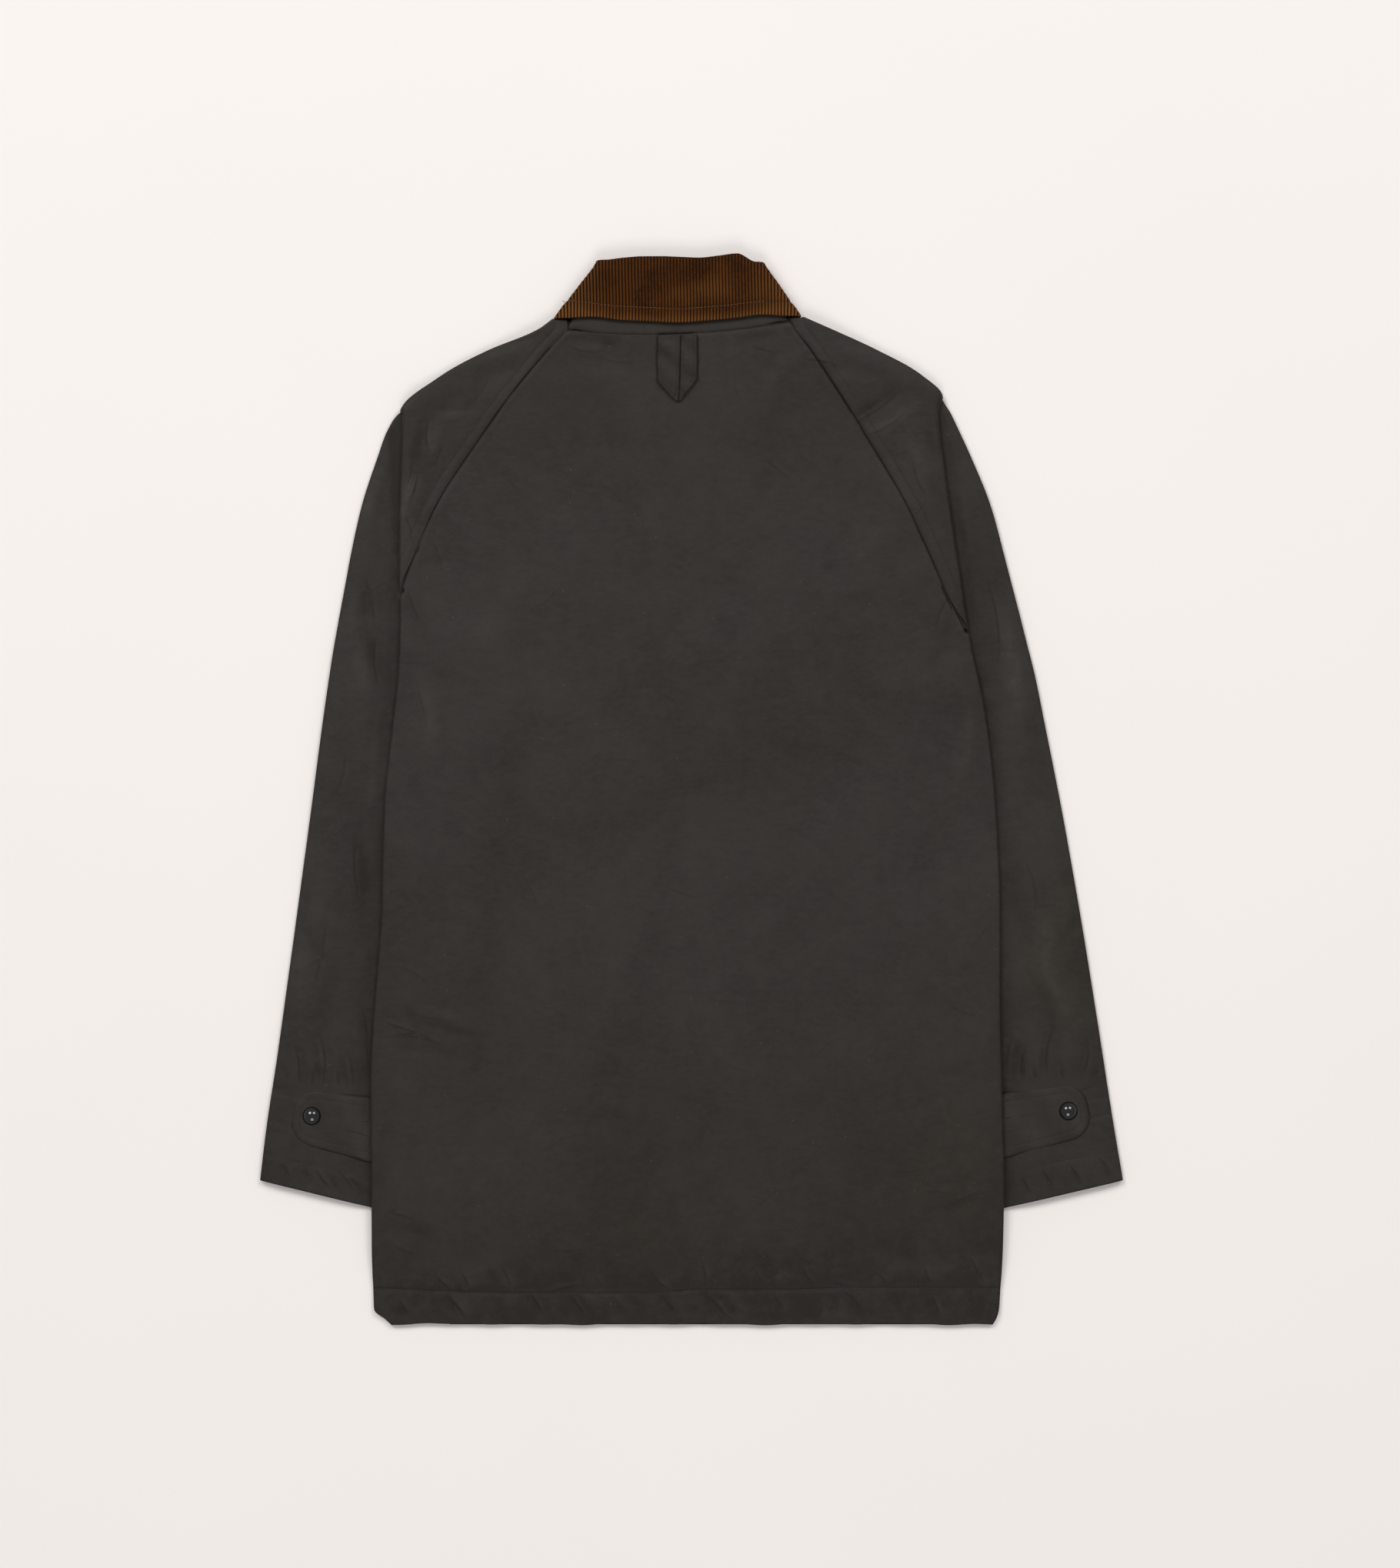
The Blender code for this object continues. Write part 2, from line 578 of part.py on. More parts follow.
class Collar:
    """The neck band: a fall that turns down over its stand, closed round both sides of the neck."""

    pitch = COLLAR_CLOTH + SEAM
    inner_radius = pitch / 2
    middle = inner_radius + 3 * pitch + COLLAR_CLOTH / 2    # height between its two halves
    stand_side = {"left": 0.8036, "right": 0.8100}
    roll_end = 0.838        # height of the front roll at the opening
    tip = 0.745             # height of the front fall's tip
    opening = 3 * MM        # half gap between the two front ends
    slant = 1.3             # the sides slope, so their layers lie further apart across

    def radius(self, layer):
        return self.inner_radius + layer * self.pitch

    def side_centre(self, side, fall, v):
        """Centre of the turn round the neck's side, v = 0 at the roll to 1 at the lower edge."""
        index = 0 if side is LEFT else -1
        outer = self.slant * (self.radius(3) + COLLAR_CLOTH / 2)
        roll = side.inward(COLLAR_TOP[index][0], outer)
        if fall:
            return mix(roll, side.inward(COLLAR_FALL[index][0], outer), v)
        return mix(roll, side.inward(NECK_ENDS[index], self.slant * self.radius(1)), v)

    def roll_height(self, x):
        return read(COLLAR_TOP, x) - 1.5 * self.pitch - COLLAR_CLOTH / 2

    def edge_height(self, x, fall):
        return read(COLLAR_FALL, x) if fall else neck_seam(x) + SEAM

    def side_height(self, side, fall, v):
        index = 0 if side is LEFT else -1
        low = COLLAR_FALL[index][1] if fall else self.stand_side[side.name]
        return mix(self.roll_height(COLLAR_TOP[index][0]), low, v)

    def back_point(self, share, fall, v, layer, rise):
        x = mix(self.side_centre(LEFT, fall, v), self.side_centre(RIGHT, fall, v), share)
        u = mix(self.roll_height(x), self.edge_height(x, fall), v)
        blend = smooth(min(share, 1 - share) / 0.06)
        side = LEFT if share < 0.5 else RIGHT
        return x, mix(self.side_height(side, fall, v), u, blend) + rise, self.middle + layer

    def turn_point(self, side, angle, fall, v, radius, rise):
        x = self.side_centre(side, fall, v) + side.sign * self.slant * radius * math.sin(angle)
        return x, self.side_height(side, fall, v) + rise, self.middle + radius * math.cos(angle)

    def front_point(self, side, share, fall, v, radius, rise):
        x = mix(self.side_centre(side, fall, v), CENTRE + side.sign * self.opening, share)
        low = self.tip if fall else front_neck(x) + SEAM
        pace = share if fall else smooth(share / 0.25)
        edge = mix(self.side_height(side, fall, 1), low, pace)
        roll = mix(self.side_height(side, fall, 0), self.roll_end, share)
        return x, mix(roll, edge, v) + rise, self.middle - radius

    def profile(self, inner, outer, stand, fall):
        """Stations down the band: stand up to the roll, round it, and down the fall."""
        stations = [(False, v, inner, 0.0) for v in stand]
        half = (outer - inner) / 2
        for angle in (-45, 0, 45):
            layer = (inner + outer) / 2 + half * math.sin(math.radians(angle))
            stations.append((angle > 0, 0.0, layer, half * self.pitch * math.cos(math.radians(angle))))
        return stations + [(True, v, outer, 0.0) for v in fall]

    def rows(self, profile):
        grid = []
        for fall, v, layer, rise in profile:
            radius = self.radius(layer)
            row = []
            for share in (1, 0.7, 0.4, 0.15):
                row.append(self.front_point(LEFT, share, fall, v, radius, rise))
            for angle in (180, 120, 60, 0):
                row.append(self.turn_point(LEFT, math.radians(angle), fall, v, radius, rise))
            for k in range(1, 8):
                row.append(self.back_point(k / 8, fall, v, radius, rise))
            for angle in (0, 60, 120, 180):
                row.append(self.turn_point(RIGHT, math.radians(angle), fall, v, radius, rise))
            for share in (0.15, 0.4, 0.7, 1):
                row.append(self.front_point(RIGHT, share, fall, v, radius, rise))
            grid.append(row)
        return grid


def add_collar(jacket):
    collar = Collar()
    outer = collar.profile(0, 3, (1, 0.5, 0), (0, 0.35, 0.7, 1))
    jacket.sheet("collar", collar.rows(outer), COLLAR_CLOTH, "corduroy", flip=True)
    inner = collar.profile(1, 2, (1, 0.5, 0), (0, 0.35, 0.7, 0.97))
    jacket.sheet("under_collar", collar.rows(inner), COLLAR_CLOTH, "waxed_cotton", flip=True)


def tab_outline(length):
    """Outline of a tab along +x: straight hidden end, tapering sides, round far end."""
    base, end = TAB_HALF_WIDTH
    points = [(-TAB_HIDDEN, -base)]
    for sign, first in ((-1, -90), (1, 0)):
        for k in range(6):
            angle = math.radians(first + 90 * k / 5)
            points.append((length - TAB_CORNER + TAB_CORNER * math.cos(angle),
                           sign * (end - TAB_CORNER) + TAB_CORNER * math.sin(angle)))
    points.append((-TAB_HIDDEN, base))
    return points


def add_cuff_tab(jacket, side):
    tab = TABS[side.name]
    curve = bpy.data.curves.new("cuff_tab_" + side.name, "CURVE")
    curve.dimensions = "2D"
    curve.fill_mode = "BOTH"
    curve.extrude = TAB_CLOTH / 2
    outline = tab_outline(TAB_LENGTH[side.name])
    spline = curve.splines.new("POLY")
    spline.points.add(len(outline) - 1)
    for point, (x, y) in zip(spline.points, outline):
        point.co = (x, y, 0, 1)
    spline.use_cyclic_u = True
    piece = jacket.add("cuff_tab_" + side.name, curve, "waxed_cotton")
    piece.location = (tab["x"], tab["u"], TAB_HEIGHT)
    piece.rotation_euler = (0, 0, math.radians(tab["angle"]))


def add_snap(jacket, side):
    mesh = bmesh.new()
    points = [mesh.verts.new((radius * MM, 0, height * MM)) for radius, height in SNAP_PROFILE]
    for first, second in zip(points, points[1:]):
        mesh.edges.new((first, second))
    data = bpy.data.meshes.new("snap_" + side.name)
    mesh.to_mesh(data)
    mesh.free()
    piece = jacket.add("snap_" + side.name, data, "snap_black")
    turned = piece.modifiers.new("Turned", "SCREW")
    turned.steps = 16
    turned.render_steps = 16
    turned.use_merge_vertices = True
    turned.merge_threshold = 0.00001
    x, u = TABS[side.name]["snap"]
    piece.location = (x, u, TAB_HEIGHT + TAB_CLOTH / 2 + SEAM)


def main():
    for old in list(bpy.data.objects):
        bpy.data.objects.remove(old, do_unlink=True)
    jacket = Jacket()
    add_back(jacket)
    for side in (LEFT, RIGHT):
        add_front(jacket, side)
        add_sleeve(jacket, side)
        add_cuff_tab(jacket, side)
        add_snap(jacket, side)
    add_collar(jacket)
    add_straps(jacket)


main()
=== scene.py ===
"""Waxed cotton raglan jacket laid flat with its back up: its looks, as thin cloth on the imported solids.

Garment coordinates: x across the jacket, u up from the hem towards the collar, z up from the table.
"""
import math

import bpy
import numpy as np
from mathutils.bvhtree import BVHTree
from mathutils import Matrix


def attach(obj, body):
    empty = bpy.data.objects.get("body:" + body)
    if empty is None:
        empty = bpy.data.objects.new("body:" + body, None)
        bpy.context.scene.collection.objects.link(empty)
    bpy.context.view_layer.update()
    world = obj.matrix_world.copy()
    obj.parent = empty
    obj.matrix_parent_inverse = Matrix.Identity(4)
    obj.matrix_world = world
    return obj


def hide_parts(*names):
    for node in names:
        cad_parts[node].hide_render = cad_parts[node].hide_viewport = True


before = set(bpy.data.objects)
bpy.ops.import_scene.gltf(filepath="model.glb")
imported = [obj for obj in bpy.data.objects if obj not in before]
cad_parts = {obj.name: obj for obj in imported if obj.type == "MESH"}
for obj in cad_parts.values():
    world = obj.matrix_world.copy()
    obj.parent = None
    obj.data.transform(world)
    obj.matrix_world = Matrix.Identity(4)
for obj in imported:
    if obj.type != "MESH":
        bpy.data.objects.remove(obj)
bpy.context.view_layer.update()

MM = 0.001
HEM_TO_ORIGIN = 0.4315      # the origin is at mid length of the jacket, on the table
CLOTH = 2.2 * MM            # waxed cotton with its backing
COLLAR_CLOTH = 1.6 * MM
TAB_CLOTH = 1.6 * MM
SEAM = 0.3 * MM             # gap between two sewn edges
LAY = 0.5 * MM              # gap between two layers that lie on each other
LAYER = CLOTH + LAY         # rise from one layer to the next
FOLD = LAYER / 2            # middle radius of a flat fold
TABLE = CLOTH / 2           # middle height of a layer on the table
TUCK = 2 * LAYER            # rise of the body where the sleeve lies under it
SLIVER = 0.15 * MM          # column spacing where a fold belongs to the neighbour piece
CENTRE = -7.5 * MM          # centre line of the neck and of the front opening

# Neck rise: the collar lifts the layers that meet it
FRONT_NECK_RISE = 4.0 * MM
BACK_NECK_RISE = 6.2 * MM
NECK_REACH = (0.112, 0.165)     # distance from the centre: full rise, no rise
FRONT_RISE_SPAN = (0.700, 0.738)
BACK_RISE_SPAN = (0.665, 0.765)
RAMP = 45 * MM                  # width of the ramp beside the tucked sleeve
RAMP_MARGIN = 4 * MM            # the ramp's top is this far inside the sleeve's inner edge
CUFF_RISE_SPAN = (0.025, 0.077) # heights between which the body rises on to the cuff
SHOULDER_RISE = 0.045           # height over which the tucked sleeve ends above the shoulder
COLUMN_STEP = 4 * MM            # least spacing of a panel's outer columns
UNDERARM_TURN = 12 * MM         # height in which the seam turns in to the underarm point
TURN_DEPTH = 52 * MM            # how far inside the edge fold it turns
UNDERARM_BULK = 1.4 * MM        # extra rise over the underarm point
TAB_LIFT = 2.1 * MM             # the body's edge rises this much over the cuff tab
TAB_WINDOW = (0.085, 0.130, 0.195, 0.245)   # heights: start, full, full, end of that rise

# Body edge, where back and front fold round: height, left x, right x
BODY_EDGE = [
    (0.000, -0.2385, 0.2470), (0.005, -0.2440, 0.2500), (0.013, -0.2530, 0.2523),
    (0.050, -0.2545, 0.2548), (0.110, -0.2545, 0.2561), (0.200, -0.2554, 0.2540),
    (0.270, -0.2520, 0.2525), (0.324, -0.2470, 0.2530), (0.386, -0.2449, 0.2517),
    (0.448, -0.2435, 0.2470), (0.500, -0.2355, 0.2400), (0.541, -0.2319, 0.2306),
    (0.575, -0.2315, 0.2253), (0.606, -0.2320, 0.2207), (0.640, -0.2325, 0.2150),
    (0.687, -0.2308, 0.2089), (0.718, -0.2300, 0.2040), (0.748, -0.2290, 0.2021),
    (0.830, -0.2270, 0.2000)]

# Sleeve silhouette: height, left x, right x
SLEEVE_EDGE = [
    (0.110, -0.3455, 0.3535), (0.138, -0.3429, 0.3484), (0.225, -0.3298, 0.3348),
    (0.324, -0.3162, 0.3193), (0.424, -0.3026, 0.3013), (0.523, -0.2895, 0.2815),
    (0.572, -0.2809, 0.2691), (0.622, -0.2716, 0.2561), (0.672, -0.2604, 0.2424),
    (0.721, -0.2424, 0.2201), (0.740, -0.2294, 0.2110), (0.7475, -0.2245, 0.2070),
    (0.7583, -0.2096, 0.1978), (0.7645, -0.2003, 0.1916), (0.7769, -0.1792, 0.1711),
    (0.7893, -0.1538, 0.1476), (0.8017, -0.1215, 0.1197), (0.8079, -0.1097, 0.1042),
    (0.8120, -0.1088, 0.0950)]

# Back raglan seam: height, left x, right x
BACK_SEAM = [
    (0.5586, -0.2370, 0.2251), (0.5909, -0.2306, 0.2085), (0.6135, -0.2220, 0.1990),
    (0.6343, -0.2145, 0.1897), (0.6560, -0.2046, 0.1798), (0.6826, -0.1897, 0.1652),
    (0.7040, -0.1748, 0.1524), (0.7300, -0.1565, 0.1365), (0.7474, -0.1445, 0.1255),
    (0.7744, -0.1218, 0.1075), (0.7868, -0.1110, 0.0992), (0.8023, -0.0967, 0.0872),
    (0.8120, -0.0976, 0.0830)]

# Depth of the sleeve hidden under the body edge: height, depth
HIDDEN_DEPTH = [
    (0.000, 0.048), (0.100, 0.048), (0.330, 0.063), (0.500, 0.070), (0.590, 0.066),
    (0.700, 0.004), (0.760, 0.000)]

# Side seam under the body edge: height, distance from the edge
SIDE_SEAM = [(0.000, 0.045), (0.090, 0.045), (0.330, 0.055), (0.510, 0.065), (0.560, 0.065)]

# Neck seam of the back: a shallow parabola between its two ends
NECK_ENDS = (-0.0967, 0.0818)
NECK_LOW_X = -0.030
NECK_LOW_HEIGHT = 0.7990
NECK_CURVE = 0.82           # rise per square metre across

# Neck seam of the fronts: lowest at the centre, up to the front raglan seams
FRONT_NECK_LOW = 0.782
FRONT_NECK_END = 0.7985
FRONT_NECK_HALF = 0.0815

# Top edge of the collar: x, height
COLLAR_TOP = [
    (-0.0756, 0.8587), (-0.0298, 0.8618), (0.0122, 0.8602), (0.0400, 0.8637), (0.0651, 0.8570)]

# Lower edge of the collar fall over the back: x, height
COLLAR_FALL = [
    (-0.1088, 0.8110), (-0.1011, 0.8153), (-0.0577, 0.8097), (-0.0053, 0.8074),
    (0.0295, 0.8100), (0.0643, 0.8141), (0.0936, 0.8127)]

# Heights of the shoulder point, of the armpit, where the raglan seam passes round the edge fold,
# of the underarm point, of the back's corner at the neck and of the sleeve's end under the collar
SIDES = {
    "left": {"sign": -1, "column": 1, "shoulder": 0.7366, "armpit": 0.5909, "underarm": 0.545,
             "corner": 0.8023, "neck": 0.8105},
    "right": {"sign": 1, "column": 2, "shoulder": 0.7477, "armpit": 0.5586, "underarm": 0.515,
              "corner": 0.8075, "neck": 0.8118},
}

# Where the raglan seam passes round the body's edge fold
ARMPIT_GAP = 1.4 * MM           # extra half gap there
ARMPIT_REACH = 30 * MM          # height over which it closes
SLEEVE_LEAD = 4 * MM            # the sleeve's seam leaves the edge fold this much above the back's
ARMPIT_STEP = 3 * MM            # height in which the seam passes round the body's edge fold
CUFF_END = 0.083            # inner corner of the cuff
CUFF_SLANT = 0.034
NECK_LEDGE = 3 * MM         # the front edge of the sleeve's neck end, between its last two rows

BODY_HEIGHTS = [
    0.0005, 0.005, 0.013, 0.045, 0.060, 0.080, 0.120, 0.160, 0.205, 0.250, 0.330,
    0.420, 0.490, 0.575, 0.620, 0.660, 0.700, 0.735, 0.765, 0.785]

# Cuff tabs: where the tab comes out of the body edge, its axis angle, and the snap's place
TABS = {
    "left": {"x": -0.2585, "u": 0.1587, "angle": 168.2, "snap": (-0.3022, 0.1691)},
    "right": {"x": 0.2579, "u": 0.1621, "angle": 11.6, "snap": (0.3072, 0.1731)},
}
TAB_LENGTH = {"left": 0.0610, "right": 0.0670}
TAB_HIDDEN = 0.025
TAB_HALF_WIDTH = (0.0262, 0.0225)   # at the hidden end, at the round end
TAB_CORNER = 0.019
TAB_HEIGHT = TABLE + LAYER + CLOTH / 2 + SEAM + TAB_CLOTH / 2

# Straps of the locker loop
STRAPS = {
    # height, left x, right x
    "loop_strap_left": [
        (0.7446, -0.0086, -0.0072), (0.7480, -0.0124, -0.0066), (0.7601, -0.0236, -0.0060),
        (0.7790, -0.0240, -0.0056), (0.7975, -0.0236, -0.0050)],
    "loop_strap_right": [
        (0.7450, -0.0064, -0.0050), (0.7480, -0.0062, -0.0030), (0.7620, -0.0055, 0.0081),
        (0.7790, -0.0051, 0.0083), (0.7975, -0.0046, 0.0081)],
}


def clamp(value, low=0.0, high=1.0):
    return max(low, min(high, value))


def smooth(value):
    """Smooth step from 0 to 1."""
    value = clamp(value)
    return value * value * (3 - 2 * value)


def mix(a, b, share):
    return a + (b - a) * share


def read(table, key, column=1):
    """Value of a table's column at key, on straight lines between rows."""
    if key <= table[0][0]:
        return table[0][column]
    for low, high in zip(table, table[1:]):
        if key <= high[0]:
            return mix(low[column], high[column], (key - low[0]) / (high[0] - low[0]))
    return table[-1][column]


def neck_reach(x):
    full, none = NECK_REACH
    return smooth((none - abs(x - CENTRE)) / (none - full))


def neck_seam(x):
    """Height of the back neck seam."""
    return NECK_LOW_HEIGHT + NECK_CURVE * (x - NECK_LOW_X) ** 2


def span(value, limits):
    low, high = limits
    return smooth((value - low) / (high - low))


class Side:
    """One side of the jacket: where its folds and seams are, and how high its layers lie."""

    def __init__(self, name):
        data = SIDES[name]
        self.name = name
        self.sign = data["sign"]
        self.column = data["column"]
        self.shoulder = data["shoulder"]
        self.armpit = data["armpit"]
        self.underarm = data["underarm"]
        self.corner = data["corner"]
        self.neck = data["neck"]

    def inward(self, x, distance):
        return x - self.sign * distance

    def edge(self, u):
        """Middle of the cloth at the outermost point of the body edge or pleat fold."""
        table = BODY_EDGE if u < self.shoulder else SLEEVE_EDGE
        return self.inward(read(table, u, self.column), CLOTH / 2)

    def silhouette(self, u):
        return self.inward(read(SLEEVE_EDGE, u, self.column), CLOTH / 2)

    def back_seam(self, u):
        return read(BACK_SEAM, u, self.column)

    def hidden_depth(self, u):
        return read(HIDDEN_DEPTH, u)

    def inner(self, u):
        """Inner edge of the sleeve's hidden layers."""
        return self.inward(self.edge(u), self.hidden_depth(u))

    def tuck(self, u):
        """Rise over the tucked sleeve: none at the hem and above the shoulder, most at the underarm."""
        over_shoulder = smooth((self.shoulder + SHOULDER_RISE - u) / SHOULDER_RISE)
        bulk = UNDERARM_BULK * smooth(1 - abs(u - self.underarm) / 0.035)
        return TUCK * over_shoulder * span(u, CUFF_RISE_SPAN) + bulk

    def ramp(self, x, u):
        """Ramp from the middle of the body (0) up on to the sleeve (1)."""
        top = self.inward(self.inner(u), RAMP_MARGIN)
        return smooth(1 - self.sign * (top - x) / RAMP)

    def tab_lift(self, x, u):
        start, full, last, end = TAB_WINDOW
        along = span(u, (start, full)) * (1 - span(u, (last, end)))
        beside = 1 - span(self.sign * (self.edge(u) - x), (0.028, 0.044))
        return TAB_LIFT * along * beside

    def top(self, x, u):
        """Middle height of the uppermost layer: back panel and sleeve cap."""
        neck = BACK_NECK_RISE * span(u, BACK_RISE_SPAN) * neck_reach(x)
        return TABLE + LAYER + self.tuck(u) * self.ramp(x, u) + neck + self.tab_lift(x, u)

    def bottom(self, x, u):
        """Middle height of the sleeve's lower wall, on the table or over the collar's front half."""
        return TABLE + FRONT_NECK_RISE * span(u, FRONT_RISE_SPAN) * neck_reach(x)

    def front(self, x, u):
        """Middle height of the front panel."""
        fade = 1 - span(u, (self.underarm, self.underarm + 0.030))
        over_sleeve = self.tuck(u) * self.ramp(x, u) * fade
        return self.bottom(x, u) + over_sleeve + self.tab_lift(x, u)

    def seam_gap(self, u):
        """Half the gap at the back's outer seam, wider where it passes round the edge fold."""
        return SEAM / 2 + ARMPIT_GAP * smooth(1 - abs(u - self.armpit) / ARMPIT_REACH)

    def arc_length(self):
        return math.pi * FOLD

    def along_fold(self, distance, u):
        """Point at a distance past the start of the body's edge fold, along the folded cloth."""
        start = self.inward(self.edge(u), FOLD)
        high = self.top(self.edge(u), u)
        if distance <= 0:
            x = self.inward(start, -distance)
            return x, self.top(x, u)
        if distance < self.arc_length():
            angle = distance / FOLD
            return start + self.sign * FOLD * math.sin(angle), high - FOLD * (1 - math.cos(angle))
        x = self.inward(start, distance - self.arc_length())
        return x, high - 2 * FOLD - self.tab_lift(self.edge(u), u) + self.tab_lift(x, u)

    def seam_distance(self, u):
        """Where the back's outer seam is, as a distance along the folded cloth."""
        start = self.inward(self.edge(u), FOLD)
        if u >= self.armpit:
            return min(0.0, self.sign * (self.back_seam(u) - start))
        turn = self.underarm + UNDERARM_TURN
        if u >= turn:
            return (self.armpit - u) / (self.armpit - turn) * (self.arc_length() + TURN_DEPTH)
        if u > self.underarm:
            share = (turn - u) / UNDERARM_TURN
            return self.arc_length() + mix(TURN_DEPTH, read(SIDE_SEAM, self.underarm), share)
        return self.arc_length() + read(SIDE_SEAM, u)


LEFT = Side("left")
RIGHT = Side("right")


def front_neck(x):
    """Height of the front neck seam."""
    across = clamp(abs(x - CENTRE) / FRONT_NECK_HALF)
    return mix(FRONT_NECK_LOW, FRONT_NECK_END, across ** 2)


def front_seam(side, u):
    """Front raglan seam, from the underarm point to the neck."""
    low = side.inward(side.inner(side.underarm), RAMP_MARGIN)
    high = CENTRE + side.sign * FRONT_NECK_HALF
    share = clamp((u - side.underarm) / (FRONT_NECK_END - side.underarm))
    return mix(low, high, share)


def fold_stations(side):
    """Distances past the edge fold's start for the arc and the return."""
    arc = side.arc_length()
    return [arc / 3, 2 * arc / 3, arc, arc + 0.018, arc + 0.045]


def ramp_columns(side, u, outer, inner):
    """x of the columns from the outer end to the centre, with four along the ramp."""
    reach = side.sign * (outer - inner)
    ramp_top = side.sign * (outer - side.inward(side.inner(u), RAMP_MARGIN))
    columns = []
    for k, share in enumerate((0, 1 / 3, 2 / 3, 1)):
        distance = max(ramp_top + RAMP * share, (k + 1) * COLUMN_STEP)
        columns.append(side.inward(outer, distance))
    for share in (1 / 3, 2 / 3):
        columns.append(side.inward(outer, mix(distance, reach, share)))
    return columns


def body_heights():
    heights = list(BODY_HEIGHTS)
    for side in (LEFT, RIGHT):
        heights += [side.underarm, side.underarm + UNDERARM_TURN]
        heights += [side.armpit - ARMPIT_STEP, side.armpit, side.armpit + SLEEVE_LEAD]
    return sorted(heights)


def front_outer(side, u):
    """Outer end of the front panel: side seam below the underarm, raglan seam above it."""
    if u > side.underarm:
        return side.inward(front_seam(side, u), SEAM / 2)
    x, _ = side.along_fold(side.seam_distance(u) + SEAM / 2, u)
    return x


def front_row(side, u, top_row=False):
    outer = front_outer(side, u)
    inner = CENTRE + side.sign * SEAM / 2
    points = []
    for x in [outer] + ramp_columns(side, u, outer, inner) + [inner]:
        height = front_neck(x) - 3 * SEAM if top_row else u
        points.append((x, height, side.front(x, height)))
    return points


def sleeve_slant(side, u):
    """Rise of a sleeve row from its inner to its outer end: level at the armpit, steep at the cuff."""
    return CUFF_SLANT * clamp((side.underarm - u) / (side.underarm - CUFF_END))


def half_fold(x, z, radius, outward, steps):
    """Points round a flat fold that starts at the top (x, z) and ends under it."""
    return [(x + outward * radius * math.sin(math.pi * share),
             z - radius * (1 - math.cos(math.pi * share))) for share in steps]


def between(first, last, count):
    """Points evenly between two ends, without the ends."""
    return [tuple(mix(a, b, k / (count + 1)) for a, b in zip(first, last))
            for k in range(1, count + 1)]


def folded_columns(side, u, outer):
    """Cap, upper fold, lower fold and upper wall of a sleeve section below the shoulder point."""
    lead = 0.0
    if u > side.armpit - ARMPIT_STEP / 2:
        lead = SLEEVE_LEAD * smooth(1 - (u - side.armpit) / ARMPIT_REACH)
    start = side.seam_distance(u - lead) + side.seam_gap(u)
    distances = [mix(min(start, 0), 0, share) for share in (0, 0.5, 1)]
    distances += [side.arc_length() * share for share in (1 / 3, 2 / 3, 1)]
    points = []
    for k, distance in enumerate(distances):
        points.append(side.along_fold(max(distance, start + k * SLIVER), u))
    last_x, _ = points[-1]
    wall = TABLE + LAYER
    turn = side.inward(side.inner(u), -FOLD)
    if side.sign * (last_x - turn) < SLIVER:
        turn = side.inward(last_x, SLIVER)
    points += half_fold(turn, wall + 2 * FOLD, FOLD, -side.sign, (0, 1 / 3, 2 / 3, 1))
    return points + between((turn, wall), (outer, wall), 1)


def open_columns(side, u, outer, radius):
    """The same columns above the shoulder point: cap, then one round outer fold."""
    start = side.back_seam(u) + side.sign * SEAM / 2
    points = []
    for share in (0, 0.5, 1):
        x = mix(start, outer, share)
        points.append((x, side.top(x, u)))
    steps = [k / 12 for k in range(1, 9)]
    return points + half_fold(outer, points[-1][1], radius, side.sign, steps)


def tube_columns(side, u, outer):
    """The same columns below the underarm: from the tube's inner edge along its upper wall."""
    inner = side.inward(side.inner(u), -FOLD)
    steps = [mix(0.52, 0.0, k / 9) for k in range(10)]
    points = half_fold(inner, TABLE + LAYER, FOLD, -side.sign, steps)
    return points + between((inner, TABLE + LAYER), (outer, TABLE + LAYER), 1)


def sleeve_row(side, u):
    """One section of a sleeve, from its back seam round the outer edge to its front seam."""
    rise = sleeve_slant(side, u)
    ledge = SEAM if u == side.neck else SEAM + NECK_LEDGE
    silhouette = side.silhouette(u + rise)
    bottom = side.bottom(silhouette, u)
    radius = FOLD
    if u >= side.shoulder:
        radius = (side.top(silhouette, u + rise) - bottom) / 2
    outer = side.inward(silhouette, radius)
    if u >= side.shoulder:
        points = open_columns(side, u, outer, radius)
        inner = points[0][0]
        points += half_fold(outer, side.top(outer, u), radius, side.sign,
                            (9 / 12, 10 / 12, 11 / 12, 1))
    elif u > side.underarm:
        points = folded_columns(side, u, outer)
        inner = side.inner(u)
        points += half_fold(outer, TABLE + LAYER, FOLD, side.sign, (0, 1 / 3, 2 / 3, 1))
    else:
        points = tube_columns(side, u, outer)
        inner = side.inner(u)
        points += half_fold(outer, TABLE + LAYER, FOLD, side.sign, (0, 1 / 3, 2 / 3, 1))
    if u > side.underarm:
        end = front_seam(side, min(u, FRONT_NECK_END - ledge)) + side.sign * SEAM / 2
        xs = [mix(outer, end, share) for share in (0.33, 0.67, 0.9, 1)]
        points += [(x, side.bottom(x, u)) for x in xs]
    else:
        end = side.inward(inner, -FOLD)
        points += between((outer, TABLE), (end, TABLE), 2)
        points += half_fold(end, TABLE + LAYER, FOLD, -side.sign, (0.78, 0.56))
    reach = abs(silhouette - inner)
    row = [(x, u + rise * clamp(abs(x - inner) / reach), z) for x, z in points]
    if u >= side.corner:
        row[-4:] = [(x, min(v, front_neck(x) - ledge), z) for x, v, z in row[-4:]]
    return row


def sleeve_heights(side):
    """Heights of a sleeve's sections from cuff to neck; with the body's from the underarm up."""
    below = [CUFF_END, 0.130, 0.190, 0.260, 0.340, 0.420, 0.480]
    shared = [u for u in body_heights() if u >= side.underarm]
    own = [side.shoulder - 0.016, side.shoulder, side.corner, side.neck]
    return sorted(below + shared + own)


